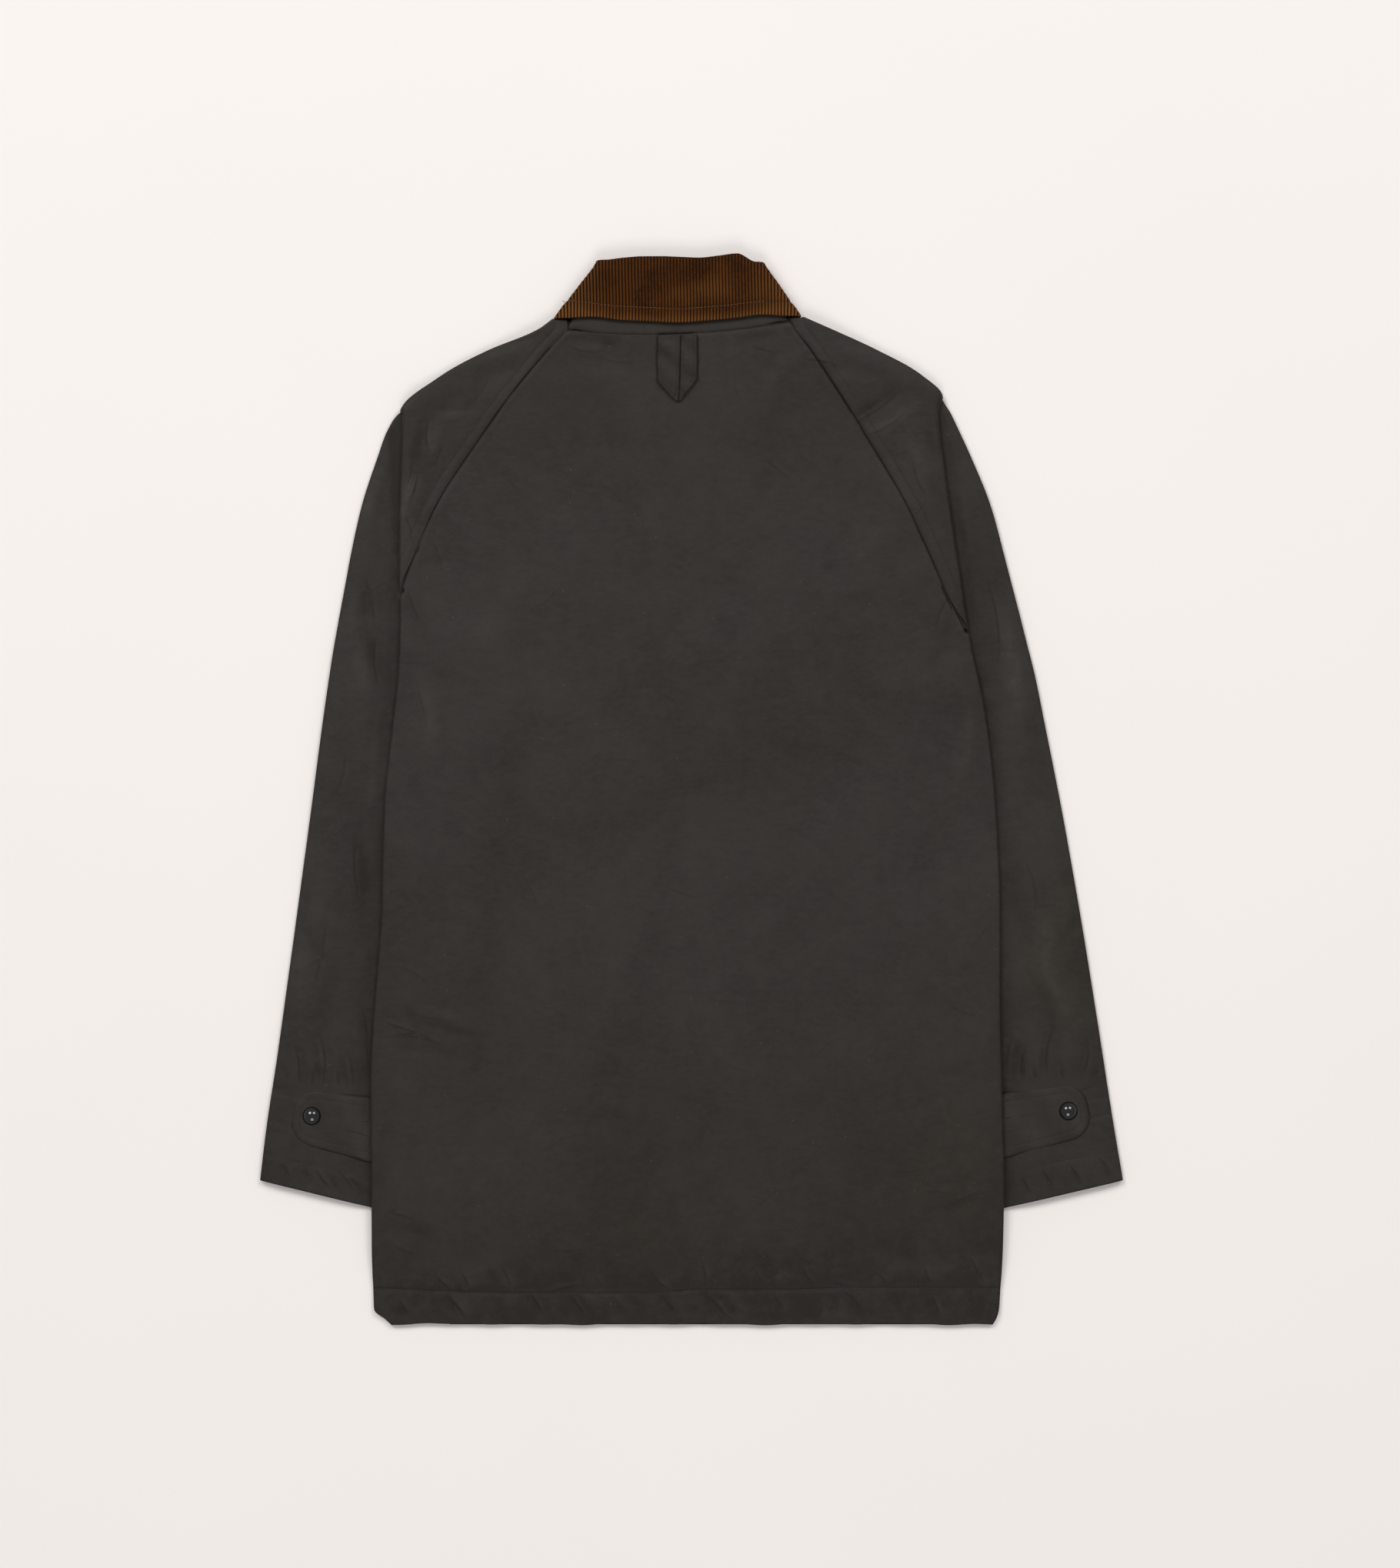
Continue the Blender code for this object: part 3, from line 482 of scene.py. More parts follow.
class Collar:
    """The neck band: a fall that turns down over its stand, closed round both sides of the neck."""

    pitch = COLLAR_CLOTH + SEAM
    inner_radius = pitch / 2
    middle = inner_radius + 3 * pitch + COLLAR_CLOTH / 2    # height between its two halves
    stand_side = {"left": 0.8036, "right": 0.8100}
    roll_end = 0.838        # height of the front roll at the opening
    tip = 0.745             # height of the front fall's tip
    opening = 3 * MM        # half gap between the two front ends
    slant = 1.3             # the sides slope, so their layers lie further apart across

    def radius(self, layer):
        return self.inner_radius + layer * self.pitch

    def side_centre(self, side, fall, v):
        """Centre of the turn round the neck's side, v = 0 at the roll to 1 at the lower edge."""
        index = 0 if side is LEFT else -1
        outer = self.slant * (self.radius(3) + COLLAR_CLOTH / 2)
        roll = side.inward(COLLAR_TOP[index][0], outer)
        if fall:
            return mix(roll, side.inward(COLLAR_FALL[index][0], outer), v)
        return mix(roll, side.inward(NECK_ENDS[index], self.slant * self.radius(1)), v)

    def roll_height(self, x):
        return read(COLLAR_TOP, x) - 1.5 * self.pitch - COLLAR_CLOTH / 2

    def edge_height(self, x, fall):
        return read(COLLAR_FALL, x) if fall else neck_seam(x) + SEAM

    def side_height(self, side, fall, v):
        index = 0 if side is LEFT else -1
        low = COLLAR_FALL[index][1] if fall else self.stand_side[side.name]
        return mix(self.roll_height(COLLAR_TOP[index][0]), low, v)

    def back_point(self, share, fall, v, layer, rise):
        x = mix(self.side_centre(LEFT, fall, v), self.side_centre(RIGHT, fall, v), share)
        u = mix(self.roll_height(x), self.edge_height(x, fall), v)
        blend = smooth(min(share, 1 - share) / 0.06)
        side = LEFT if share < 0.5 else RIGHT
        return x, mix(self.side_height(side, fall, v), u, blend) + rise, self.middle + layer

    def turn_point(self, side, angle, fall, v, radius, rise):
        x = self.side_centre(side, fall, v) + side.sign * self.slant * radius * math.sin(angle)
        return x, self.side_height(side, fall, v) + rise, self.middle + radius * math.cos(angle)

    def front_point(self, side, share, fall, v, radius, rise):
        x = mix(self.side_centre(side, fall, v), CENTRE + side.sign * self.opening, share)
        low = self.tip if fall else front_neck(x) + SEAM
        pace = share if fall else smooth(share / 0.25)
        edge = mix(self.side_height(side, fall, 1), low, pace)
        roll = mix(self.side_height(side, fall, 0), self.roll_end, share)
        return x, mix(roll, edge, v) + rise, self.middle - radius

    def profile(self, inner, outer, stand, fall):
        """Stations down the band: stand up to the roll, round it, and down the fall."""
        stations = [(False, v, inner, 0.0) for v in stand]
        half = (outer - inner) / 2
        for angle in (-45, 0, 45):
            layer = (inner + outer) / 2 + half * math.sin(math.radians(angle))
            stations.append((angle > 0, 0.0, layer, half * self.pitch * math.cos(math.radians(angle))))
        return stations + [(True, v, outer, 0.0) for v in fall]

    def rows(self, profile):
        grid = []
        for fall, v, layer, rise in profile:
            radius = self.radius(layer)
            row = []
            for share in (1, 0.7, 0.4, 0.15):
                row.append(self.front_point(LEFT, share, fall, v, radius, rise))
            for angle in (180, 120, 60, 0):
                row.append(self.turn_point(LEFT, math.radians(angle), fall, v, radius, rise))
            for k in range(1, 8):
                row.append(self.back_point(k / 8, fall, v, radius, rise))
            for angle in (0, 60, 120, 180):
                row.append(self.turn_point(RIGHT, math.radians(angle), fall, v, radius, rise))
            for share in (0.15, 0.4, 0.7, 1):
                row.append(self.front_point(RIGHT, share, fall, v, radius, rise))
            grid.append(row)
        return grid


SHELL = 1.5 * MM            # visible cloth, a little thinner than its solid
COLLAR_SHELL = 1.1 * MM
RAGLAN_STITCH = 8.5 * MM    # distance of the raglan seam's parallel stitch line
SEAM_SLOPE = 0.845          # across the raglan seam, for each unit along x
COLLAR_STITCH = 11 * MM
TAB_STITCH = 7 * MM         # stitch line's distance from a tab's edge
STRAP_STITCH = 2.6 * MM     # and from a strap's edge
WALE = 2.6 * MM             # spacing of the corduroy's ribs
WALE_RISE = 0.45 * MM

BAR_TACKS = ((-0.0226, -0.0160), (-0.0010, 0.0050))     # x of their ends, on the straps

# Spacing of the fine mesh
FINE_LINE = 1.2 * MM        # across folds and beside seams
HEM_LINE = 1.9 * MM         # up the hem tube
BACK_LINE = 3.3 * MM        # over the plain back
HIDDEN_LINE = 10 * MM       # where the cloth is out of sight

# Hem stitch line: x, height
HEM_SEAM = [(-0.2443, 0.0300), (-0.2077, 0.0282), (-0.1500, 0.0262), (-0.0248, 0.0262),
            (0.0043, 0.0288), (0.0787, 0.0290), (0.1308, 0.0304), (0.2536, 0.0304)]

# Creases of the back in mm: first end x, u, last end x, u, half width, rise (a trough below 0)
BACK_CREASES = [
    # puckers across the hem
    (-199, 27, -178, 5, 3.0, -1.3), (-188, 26, -168, 8, 4.0, 0.8), (-240, 26, -226, 6, 3.5, -1.0),
    (-160, 25, -149, 10, 3.0, -0.7), (-130, 26, -116, 5, 2.6, -1.2), (-92, 27, -79, 5, 2.8, -1.3),
    (-84, 27, -70, 9, 3.4, 0.8), (-50, 26, -42, 10, 2.8, -0.6), (-24, 26, -7, 4, 2.8, -1.3),
    (-14, 26, 2, 8, 3.4, 0.8), (11, 29, 19, 12, 2.4, -1.1), (20, 27, 40, 2, 2.8, -1.4),
    (30, 28, 50, 6, 3.6, 0.8), (64, 27, 74, 10, 2.8, -0.7), (96, 27, 110, 8, 3.0, -0.8),
    (132, 29, 144, 9, 2.8, -0.7), (168, 29, 176, 12, 2.6, -0.6), (194, 24, 206, 4, 2.8, -1.2),
    (228, 28, 238, 8, 3.0, -0.8),
    # pulls above the hem stitching
    (-198, 25, -211, 48, 2.6, -0.9), (-178, 24, -186, 40, 2.2, -0.8), (-148, 23, -160, 54, 3.0, -0.9),
    (-121, 24, -124, 38, 2.0, -0.5), (-93, 23, -104, 50, 2.6, -1.0), (-79, 24, -84, 42, 2.2, -0.8),
    (-52, 24, -57, 37, 2.0, -0.4), (-21, 23, -34, 49, 2.8, -1.0), (6, 26, -2, 44, 2.4, -0.9),
    (40, 27, 34, 40, 2.0, -0.4), (76, 27, 70, 43, 2.2, -0.5), (108, 27, 97, 56, 3.2, -0.9),
    (130, 28, 124, 48, 2.6, -0.8), (162, 29, 158, 42, 2.0, -0.4), (190, 29, 196, 45, 2.4, -0.6),
    (224, 29, 238, 56, 3.0, -0.9),
    # long soft folds along the hem and the lower corners
    (-236, 64, -120, 52, 9.0, 0.8), (-70, 58, 60, 62, 10.0, 0.7), (110, 66, 240, 58, 9.0, 0.8),
    (-247, 88, -196, 80, 5.0, -0.7), (196, 92, 246, 100, 5.0, -0.7),
    # lens of creases at the lower left, and its likes on the right
    (-246, 252, -150, 226, 5.0, -0.9), (-240, 243, -158, 236, 4.5, 0.7),
    (-245, 228, -165, 216, 5.0, -0.8),
    (170, 262, 247, 238, 5.0, -0.5), (188, 208, 250, 196, 5.0, -0.5),
    (-120, 172, -30, 158, 6.5, -0.4), (40, 204, 130, 190, 6.5, -0.35),
    # beside and below the neck
    (-100, 791, -38, 786, 5.0, -0.9), (34, 788, 84, 796, 4.5, -0.6), (-92, 774, -40, 770, 6.0, 0.5),
    (92, 782, 62, 740, 7.0, 0.5), (-70, 742, -44, 700, 6.0, -0.3),
    # along the armpits
    (-226, 600, -196, 540, 7.0, -0.7), (214, 590, 186, 520, 7.0, -0.7),
    (-222, 540, -208, 440, 6.0, 0.6), (226, 520, 212, 420, 6.0, 0.6),
    (-150, 420, -60, 400, 9.0, -0.35), (30, 470, 130, 452, 9.0, -0.35), (-90, 600, 10, 588, 10.0, 0.35),
]

# Creases of the sleeves in mm, the same columns
SLEEVE_CREASES = [
    # left cap and shoulder pleat
    (-206, 735, -217, 680, 4.0, -1.5), (-196, 730, -204, 690, 5.0, 0.9),
    (-216, 688, -232, 640, 5.0, 1.1),
    (-207, 690, -222, 652, 4.0, -0.9), (-226, 664, -214, 640, 3.5, -0.7),
    (-160, 772, -186, 728, 5.0, -0.6),
    (-130, 778, -156, 736, 5.0, 0.5), (-218, 640, -226, 608, 4.0, -0.7),
    # right cap
    (92, 781, 132, 770, 5.0, -1.1), (96, 772, 138, 758, 5.0, 0.7), (126, 722, 180, 760, 6.0, -1.2),
    (134, 716, 190, 750, 5.5, 0.9), (196, 742, 204, 690, 4.5, -0.8), (176, 716, 196, 668, 6.0, 0.6),
    (188, 690, 208, 634, 5.0, -0.6),
    # left sleeve, beside the body edge
    (-256, 612, -244, 506, 6.5, -1.6), (-268, 600, -258, 500, 7.0, 1.0),
    (-270, 402, -260, 318, 5.5, -1.3),
    (-263, 264, -258, 190, 5.0, -1.2), (-284, 560, -300, 430, 9.0, -0.7),
    (-250, 480, -262, 410, 6.0, 0.6),
    (-288, 360, -310, 236, 9.0, 0.7), (-276, 300, -300, 214, 7.0, -0.8),
    (-312, 330, -290, 292, 5.0, -0.5),
    (-262, 640, -246, 700, 6.0, 0.8),
    # right sleeve
    (234, 640, 252, 446, 7.0, -1.6), (250, 590, 266, 470, 7.0, 1.0), (268, 400, 282, 300, 7.0, -0.8),
    (262, 238, 258, 184, 5.0, -1.2), (286, 520, 300, 400, 9.0, -0.6), (290, 350, 318, 226, 9.0, 0.7),
    (276, 290, 296, 210, 7.0, -0.8), (316, 340, 296, 300, 5.0, -0.5),
    # gathers above the cuff tabs and along the cuff ends
    (-322, 190, -327, 212, 1.8, -0.5), (-311, 191, -317, 234, 2.2, -0.8),
    (-301, 190, -299, 208, 1.6, -0.5),
    (-291, 191, -297, 244, 2.6, -0.9), (-282, 190, -280, 206, 1.6, -0.5),
    (-270, 188, -276, 228, 2.2, -0.9),
    (-305, 191, -309, 224, 2.4, 0.4), (-285, 191, -289, 232, 2.4, 0.4),
    (326, 194, 331, 212, 1.8, -0.5), (314, 196, 320, 236, 2.2, -0.8), (304, 198, 303, 212, 1.6, -0.5),
    (290, 197, 297, 246, 2.6, -0.9), (281, 196, 279, 210, 1.6, -0.5), (270, 192, 275, 230, 2.2, -0.9),
    (308, 198, 312, 228, 2.4, 0.4), (286, 197, 289, 236, 2.4, 0.4),
    (-330, 134, -322, 116, 2.4, -0.9), (-308, 130, -300, 112, 2.4, -0.9),
    (-288, 126, -280, 106, 2.4, -1.0),
    (-268, 120, -262, 102, 2.4, -0.9), (336, 134, 344, 118, 2.4, -0.9), (312, 130, 318, 112, 2.4, -0.9),
    (290, 126, 296, 108, 2.4, -1.0), (270, 122, 276, 104, 2.4, -0.9),
]

# Creases painted as shade lines with a painted highlight beside them, in mm: first end x, u, last end x, u,
# strength
PAINTED_CREASE_LINES = [
    # across the hem
    (-194, 24, -178, 4, 1.0), (-127, 26, -117, 7, 0.9), (-97, 27, -79, 3, 1.0), (-22, 25, -8, 6, 0.8),
    (13, 27, 34, 5, 1.0), (19, 26, 41, 2, 0.9), (124, 29, 142, 9, 0.7), (196, 26, 205, 5, 0.9),
    (-232, 22, -222, 8, 0.5), (-62, 25, -52, 9, 0.4), (70, 27, 80, 9, 0.5), (166, 28, 172, 12, 0.4),
    # above the hem stitching
    (-203, 40, -189, 27, 0.8), (-183, 44, -176, 29, 0.7), (-114, 27, -80, 33, 0.9),
    (-28, 40, -12, 27, 0.8),
    (11, 52, 14, 30, 0.7), (115, 36, 134, 33, 0.7), (-152, 50, -142, 27, 0.6), (-76, 43, -66, 27, 0.5),
    (54, 46, 62, 30, 0.5), (92, 48, 104, 30, 0.6), (150, 44, 162, 30, 0.5), (226, 58, 240, 33, 0.7),
    (190, 50, 198, 31, 0.5), (-238, 66, -216, 58, 0.5),
    # lower corners and side edges
    (-246, 246, -204, 233, 0.8), (-242, 232, -190, 222, 0.6), (-226, 252, -172, 246, 0.4),
    (-247, 92, -214, 82, 0.5), (212, 96, 248, 108, 0.5), (206, 262, 246, 250, 0.4),
    (-120, 62, -62, 70, 0.3),
    # below the neck and along the raglan seams
    (-98, 790, -62, 786, 0.6), (-74, 780, -40, 776, 0.4), (48, 790, 76, 782, 0.5),
    (-226, 598, -210, 560, 0.5),
    (214, 592, 200, 552, 0.5), (-218, 520, -206, 470, 0.3), (60, 700, 88, 676, 0.3),
    # left cap, pleat and sleeve
    (-208, 732, -206, 700, 0.8), (-216, 688, -224, 660, 0.9), (-222, 700, -228, 672, 0.6),
    (-228, 654, -222, 630, 0.6), (-196, 712, -203, 690, 0.5), (-158, 768, -180, 738, 0.4),
    (-250, 560, -246, 508, 0.7), (-262, 610, -252, 556, 0.5), (-268, 396, -261, 330, 0.6),
    (-262, 258, -259, 200, 0.7), (-290, 330, -304, 262, 0.4), (-276, 470, -288, 420, 0.4),
    # right cap and sleeve
    (92, 779, 126, 772, 0.7), (130, 724, 176, 757, 0.8), (140, 716, 182, 742, 0.5),
    (198, 738, 203, 694, 0.6),
    (182, 700, 196, 664, 0.5), (240, 606, 250, 520, 0.6), (262, 234, 259, 196, 0.7),
    (270, 380, 279, 320, 0.4),
    (296, 500, 304, 440, 0.3),
    # gathers above the tabs and puckers of the cuff ends
    (-313, 192, -319, 232, 0.6), (-294, 193, -300, 244, 0.7), (-280, 191, -281, 210, 0.5),
    (-270, 190, -276, 226, 0.6), (-303, 192, -302, 208, 0.5), (316, 197, 322, 236, 0.6),
    (291, 198, 298, 246, 0.7), (303, 198, 303, 212, 0.5), (281, 197, 280, 212, 0.5),
    (271, 194, 276, 230, 0.6),
    (-328, 132, -320, 118, 0.6), (-300, 129, -284, 108, 0.8), (-282, 125, -268, 106, 0.6),
    (-272, 121, -262, 112, 0.6), (330, 137, 342, 124, 0.5), (306, 131, 318, 112, 0.6),
    (286, 128, 300, 110, 0.7),
    (268, 122, 278, 106, 0.6)]
FAINT_COUNT = 110           # small faint creases strewn over the cloth
FAINT_SEED = 7

# Cuff stitch lines in mm, from the outer edge inwards: x, u of their points
CUFF_LINES = {
    "left": [
        [(-334, 192), (-326, 190), (-314, 187)],
        [(-334, 189.5), (-326, 187.5), (-315, 184)],
        [(-337, 165.5), (-328, 163.5), (-318, 160.5)],
        [(-339, 137.5), (-303, 130), (-256, 120)]],
    "right": [
        [(319, 190), (328, 192.5), (338, 195.5)],
        [(323, 183.5), (331, 183.5), (339, 184)],
        [(323, 167.5), (333, 169), (343, 171)],
        [(262, 122.5), (292, 131), (346, 141.5)]],
}

# Tone patches of the back and sleeves in mm: centre x, u, half widths across and up, lighter above 0. Some
# are uneven wax; the narrow dark bands along the body's edges and beside the left pleat fold and the dark
# patches on both caps are painted shade, the light patch on the left cap is a painted highlight, and the
# wide patches low down make the cloth darker towards the hem.
TONE_AND_SHADE_PATCHES = [
    (-40, 140, 46, 60, -0.30), (150, 130, 62, 74, -0.28), (62, 330, 60, 46, -0.16),
    (-170, 112, 60, 52, 0.22),
    (-66, 330, 84, 56, 0.18), (96, 92, 44, 30, 0.16), (-120, 38, 70, 26, -0.55), (20, 42, 90, 24, -0.60),
    (150, 42, 80, 26, -0.60), (-220, 44, 40, 34, -0.60), (232, 60, 22, 40, -0.50),
    (0, 10, 400, 24, -0.65),
    (-248, 120, 8, 90, -0.35), (250, 150, 8, 100, -0.35), (60, 50, 320, 56, -0.36),
    (60, 520, 90, 70, -0.14), (-140, 520, 70, 60, 0.12),
    (-72, 786, 44, 14, -0.45), (60, 776, 34, 22, -0.22), (150, 610, 50, 60, -0.14),
    (-20, 690, 60, 40, 0.10),
    # painted shadow beside the left pleat fold and painted shade on the left cap, then down to (196, 730)
    # painted shade along the body's edges and on the right cap
    (-236, 706, 4.5, 30, -1.5), (-235, 660, 3.5, 40, -0.7), (-206, 706, 14, 40, -0.35),
    (-246, 560, 12, 70, -0.45),
    (-264, 360, 10, 60, -0.40), (-260, 228, 9, 44, -0.45), (238, 560, 14, 90, -0.45),
    (262, 220, 10, 44, -0.45), (112, 768, 34, 12, -0.40), (160, 740, 30, 16, -0.30),
    (196, 730, 14, 40, -0.25),
    (-300, 205, 34, 12, -0.40), (300, 208, 34, 12, -0.40), (-290, 116, 46, 12, -0.30),
    (300, 118, 46, 12, -0.30),
    # the third patch here is a painted highlight on the left cap
    (-300, 420, 20, 90, 0.20), (290, 420, 20, 90, 0.15), (-226, 640, 10, 40, 0.30),
    (-262, 520, 9, 50, 0.22),
    (262, 520, 9, 60, 0.20), (-40, 20, 200, 6, 0.16), (180, 20, 60, 6, 0.12)]

# Broad unevenness of the laid cloth: waves per metre across and up, phase, rise in mm
WAVES = [(3.1, 2.3, 0.4, 0.55), (-5.2, 4.1, 2.1, 0.4), (8.3, 6.7, 4.4, 0.22), (13.0, -9.0, 1.3, 0.12),
         (-17.0, 14.0, 5.6, 0.08), (24.0, 19.0, 3.3, 0.05), (4.0, -11.0, 0.9, 0.2)]


def soft(value):
    """Smooth step for arrays."""
    value = np.clip(value, 0, 1)
    return value * value * (3 - 2 * value)


def bell(value, width):
    """Bell curve: 1 at 0, a third at the width."""
    return np.exp(-(value / width) ** 2)


def curve(table, key, column=1):
    """A table's column at an array of keys."""
    return np.interp(key, [row[0] for row in table], [row[column] for row in table])


def refine(grid, counts, crowd=()):
    """Divide the intervals of the first axis on a monotone cubic through the given points.

    Intervals named in crowd have their points drawn towards the start."""
    gaps = np.diff(grid, axis=0)
    length = np.linalg.norm(gaps[..., :3], axis=2, keepdims=True) + 1e-7
    slope = gaps / length
    before, after = slope[:-1], slope[1:]
    same = before * after > 0
    first = 2 * length[1:] + length[:-1]
    last = length[1:] + 2 * length[:-1]
    parts = first / np.where(same, before, 1) + last / np.where(same, after, 1)
    inner = np.where(same, (first + last) / np.where(same, parts, 1), 0)
    tangent = np.concatenate([slope[:1], inner, slope[-1:]])
    rows = []
    for k, count in enumerate(counts):
        for j in range(count):
            t = (j / count) ** (1.6 if k in crowd else 1)
            rows.append((2 * t ** 3 - 3 * t ** 2 + 1) * grid[k]
                        + (t ** 3 - 2 * t ** 2 + t) * length[k] * tangent[k]
                        + (3 * t ** 2 - 2 * t ** 3) * grid[k + 1]
                        + (t ** 3 - t ** 2) * length[k] * tangent[k + 1])
    rows.append(grid[-1])
    return np.array(rows)


def counts_for(grid, steps):
    """How many parts each interval of the first axis needs for its longest line."""
    length = np.linalg.norm(np.diff(grid[..., :3], axis=0), axis=2).max(axis=1)
    steps = np.broadcast_to(steps, length.shape)
    return [max(1, math.ceil(a / b)) for a, b in zip(length, steps)]


def crease_field(table, x, u):
    """Height of a table of creases at garment points, in metres."""
    total = np.zeros_like(x)
    for x0, u0, x1, u1, width, rise in table:
        start = np.array((x0, u0)) * MM
        along = np.array((x1, u1)) * MM - start
        length = np.hypot(*along)
        along = along / length
        dx, du = x - start[0], u - start[1]
        t = (dx * along[0] + du * along[1]) / length
        bend = 0.12 * length * np.sin(math.pi * np.clip(t, 0, 1)) * math.sin(x0 * 1.7 + u0)
        across = -dx * along[1] + du * along[0] + bend
        taper = soft(t / 0.35) * soft((1 - t) / 0.4)
        total += rise * MM * taper * bell(across, width * MM)
    return total


def wave_field(x, u):
    """Height of the broad unevenness, in metres."""
    total = np.zeros_like(x)
    for across, up, phase, rise in WAVES:
        total += rise * MM * np.sin(2 * math.pi * (across * x + up * u) + phase)
    return total


def tone_and_shade_field(x, u):
    """Lighter and darker patches: uneven wax, with painted shade and painted highlight among them."""
    total = np.zeros_like(x)
    for x0, u0, across, up, value in TONE_AND_SHADE_PATCHES:
        total += value * np.exp(-((x / MM - x0) / across) ** 2 - ((u / MM - u0) / up) ** 2)
    return total


def faint_creases():
    """Short faint creases painted as shade lines all over the cloth, mostly lying across."""
    rng = np.random.default_rng(FAINT_SEED)
    rows = []
    for _ in range(FAINT_COUNT):
        x, u = rng.uniform(-330, 335), rng.uniform(60, 780)
        length, angle = rng.uniform(12, 48), rng.normal(0.0, 0.7)
        end = x + length * math.cos(angle), u + length * math.sin(angle)
        rows.append((x, u, *end, rng.uniform(0.1, 0.32)))
    return rows


def painted_crease_field(x, u):
    """Signed distance to the nearest painted crease line, and its strength there, for the painted shade and
    highlight.
    """
    nearest, strength = np.full_like(x, 1.0), np.zeros_like(x)
    for x0, u0, x1, u1, force in PAINTED_CREASE_LINES + faint_creases():
        start = np.array((x0, u0)) * MM
        along = np.array((x1, u1)) * MM - start
        length = np.hypot(*along)
        along = along / length
        dx, du = x - start[0], u - start[1]
        t = (dx * along[0] + du * along[1]) / length
        bend = 0.10 * length * np.sin(math.pi * np.clip(t, 0, 1)) * math.sin(x0 * 2.3 + u1)
        across = -dx * along[1] + du * along[0] + bend
        taper = soft(t / 0.3) * soft((1 - t) / 0.45)
        closer = (taper > 0.0) & (np.abs(across) < np.abs(nearest)) & (np.abs(across) < 12 * MM)
        nearest = np.where(closer, across, nearest)
        strength = np.where(closer, taper * force, strength)
    return nearest, strength


def lined_distance(points, x, u):
    """Distance from garment points to a polyline given in mm."""
    best = np.full_like(x, 1.0)
    for (x0, u0), (x1, u1) in zip(points, points[1:]):
        start = np.array((x0, u0)) * MM
        along = np.array((x1, u1)) * MM - start
        t = ((x - start[0]) * along[0] + (u - start[1]) * along[1]) / (along @ along)
        t = np.clip(t, 0, 1)
        best = np.minimum(best, np.hypot(x - start[0] - t * along[0], u - start[1] - t * along[1]))
    return best


class Ground:
    """Top surfaces of the laid cloth, to set stitches on."""

    def __init__(self):
        self.verts = []
        self.faces = []
        self.tree = None

    def add(self, points, faces, rise):
        base = len(self.verts)
        self.verts += [(p[0], p[1], p[2] + rise) for p in points]
        self.faces += [tuple(base + k for k in face) for face in faces]

    def height(self, x, u):
        if self.tree is None:
            self.tree = BVHTree.FromPolygons(self.verts, self.faces)
        hit, _, _, _ = self.tree.ray_cast((x, u - HEM_TO_ORIGIN, 0.2), (0, 0, -1))
        return hit.z if hit else 0.0


GROUND = Ground()


def grid_faces(rows, columns, flip):
    index = np.arange(rows * columns).reshape(rows, columns)
    quads = np.stack([index[:-1, :-1], index[:-1, 1:], index[1:, 1:], index[1:, :-1]], axis=-1)
    quads = quads.reshape(-1, 4)
    return (quads[:, ::-1] if flip else quads).tolist()


def add_mesh(name, points, faces, material, lines=None, tone=None, crease_shade=None):
    """Mesh in world coordinates from garment points, with the values that its material reads."""
    world = np.array(points, dtype=float)
    world[:, 1] -= HEM_TO_ORIGIN
    data = bpy.data.meshes.new(name)
    data.from_pydata(world.tolist(), [], faces)
    for label, kind, key, values in (("lines", "FLOAT_VECTOR", "vector", lines),
                                     ("tone", "FLOAT", "value", tone), ("crease_shade", "FLOAT", "value", crease_shade)):
        if values is not None:
            layer = data.attributes.new(label, kind, "POINT")
            layer.data.foreach_set(key, np.ascontiguousarray(values, dtype=np.float32).ravel())
    data.materials.append(material)
    data.shade_smooth()
    piece = bpy.data.objects.new(name, data)
    bpy.context.scene.collection.objects.link(piece)
    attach(piece, "root")
    return piece, world


def thicken(piece, thickness):
    """Turn a middle surface into cloth."""
    wall = piece.modifiers.new("Cloth", "SOLIDIFY")
    wall.thickness = thickness
    wall.offset = 0


def add_cloth(name, node, grid, thickness, material, lines=None, flip=False, tone=None, crease_shade=None):
    """A sheet from a grid of middle-surface points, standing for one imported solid."""
    rows, columns = grid.shape[:2]
    faces = grid_faces(rows, columns, flip)
    flat_lines = None if lines is None else lines.reshape(-1, 3)
    piece, world = add_mesh(name, grid[..., :3].reshape(-1, 3), faces, material, flat_lines, tone, crease_shade)
    thicken(piece, thickness)
    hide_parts(node)
    GROUND.add(world, faces, thickness / 2)
    return piece


def dense(rows, row_steps, column_steps, crowd=()):
    """Coarse rows of (x, u, z, weight) to a fine grid; also the columns' part counts."""
    grid = np.array(rows, dtype=float)
    grid = refine(grid, counts_for(grid, row_steps))
    turned = grid.transpose(1, 0, 2)
    counts = counts_for(turned, column_steps)
    return refine(turned, counts, crowd).transpose(1, 0, 2), counts


def fold_weight(side, distance):
    return 1 - smooth(distance / side.arc_length())


def weighted_back_half(side, u):
    """Points of one half row of the back, with how far each takes part in the creases."""
    end = side.seam_distance(u) - side.seam_gap(u)
    stations = fold_stations(side)
    stations[-1] = max(stations[-1], end)
    points = []
    for k, station in enumerate(reversed(stations)):
        distance = min(station, end - k * SLIVER)
        x, z = side.along_fold(distance, u)
        points.append((x, u, z, fold_weight(side, distance)))
    start = min(0.0, end - len(stations) * SLIVER)
    outer, z = side.along_fold(start, u)
    points.append((outer, u, z, 1.0))
    for x in ramp_columns(side, u, outer, CENTRE):
        points.append((x, u, side.top(x, u), 1.0))
    return points


def weighted_back_row(u):
    right = weighted_back_half(RIGHT, u)
    return weighted_back_half(LEFT, u) + [(CENTRE, u, LEFT.top(CENTRE, u), 1.0)] + right[::-1]


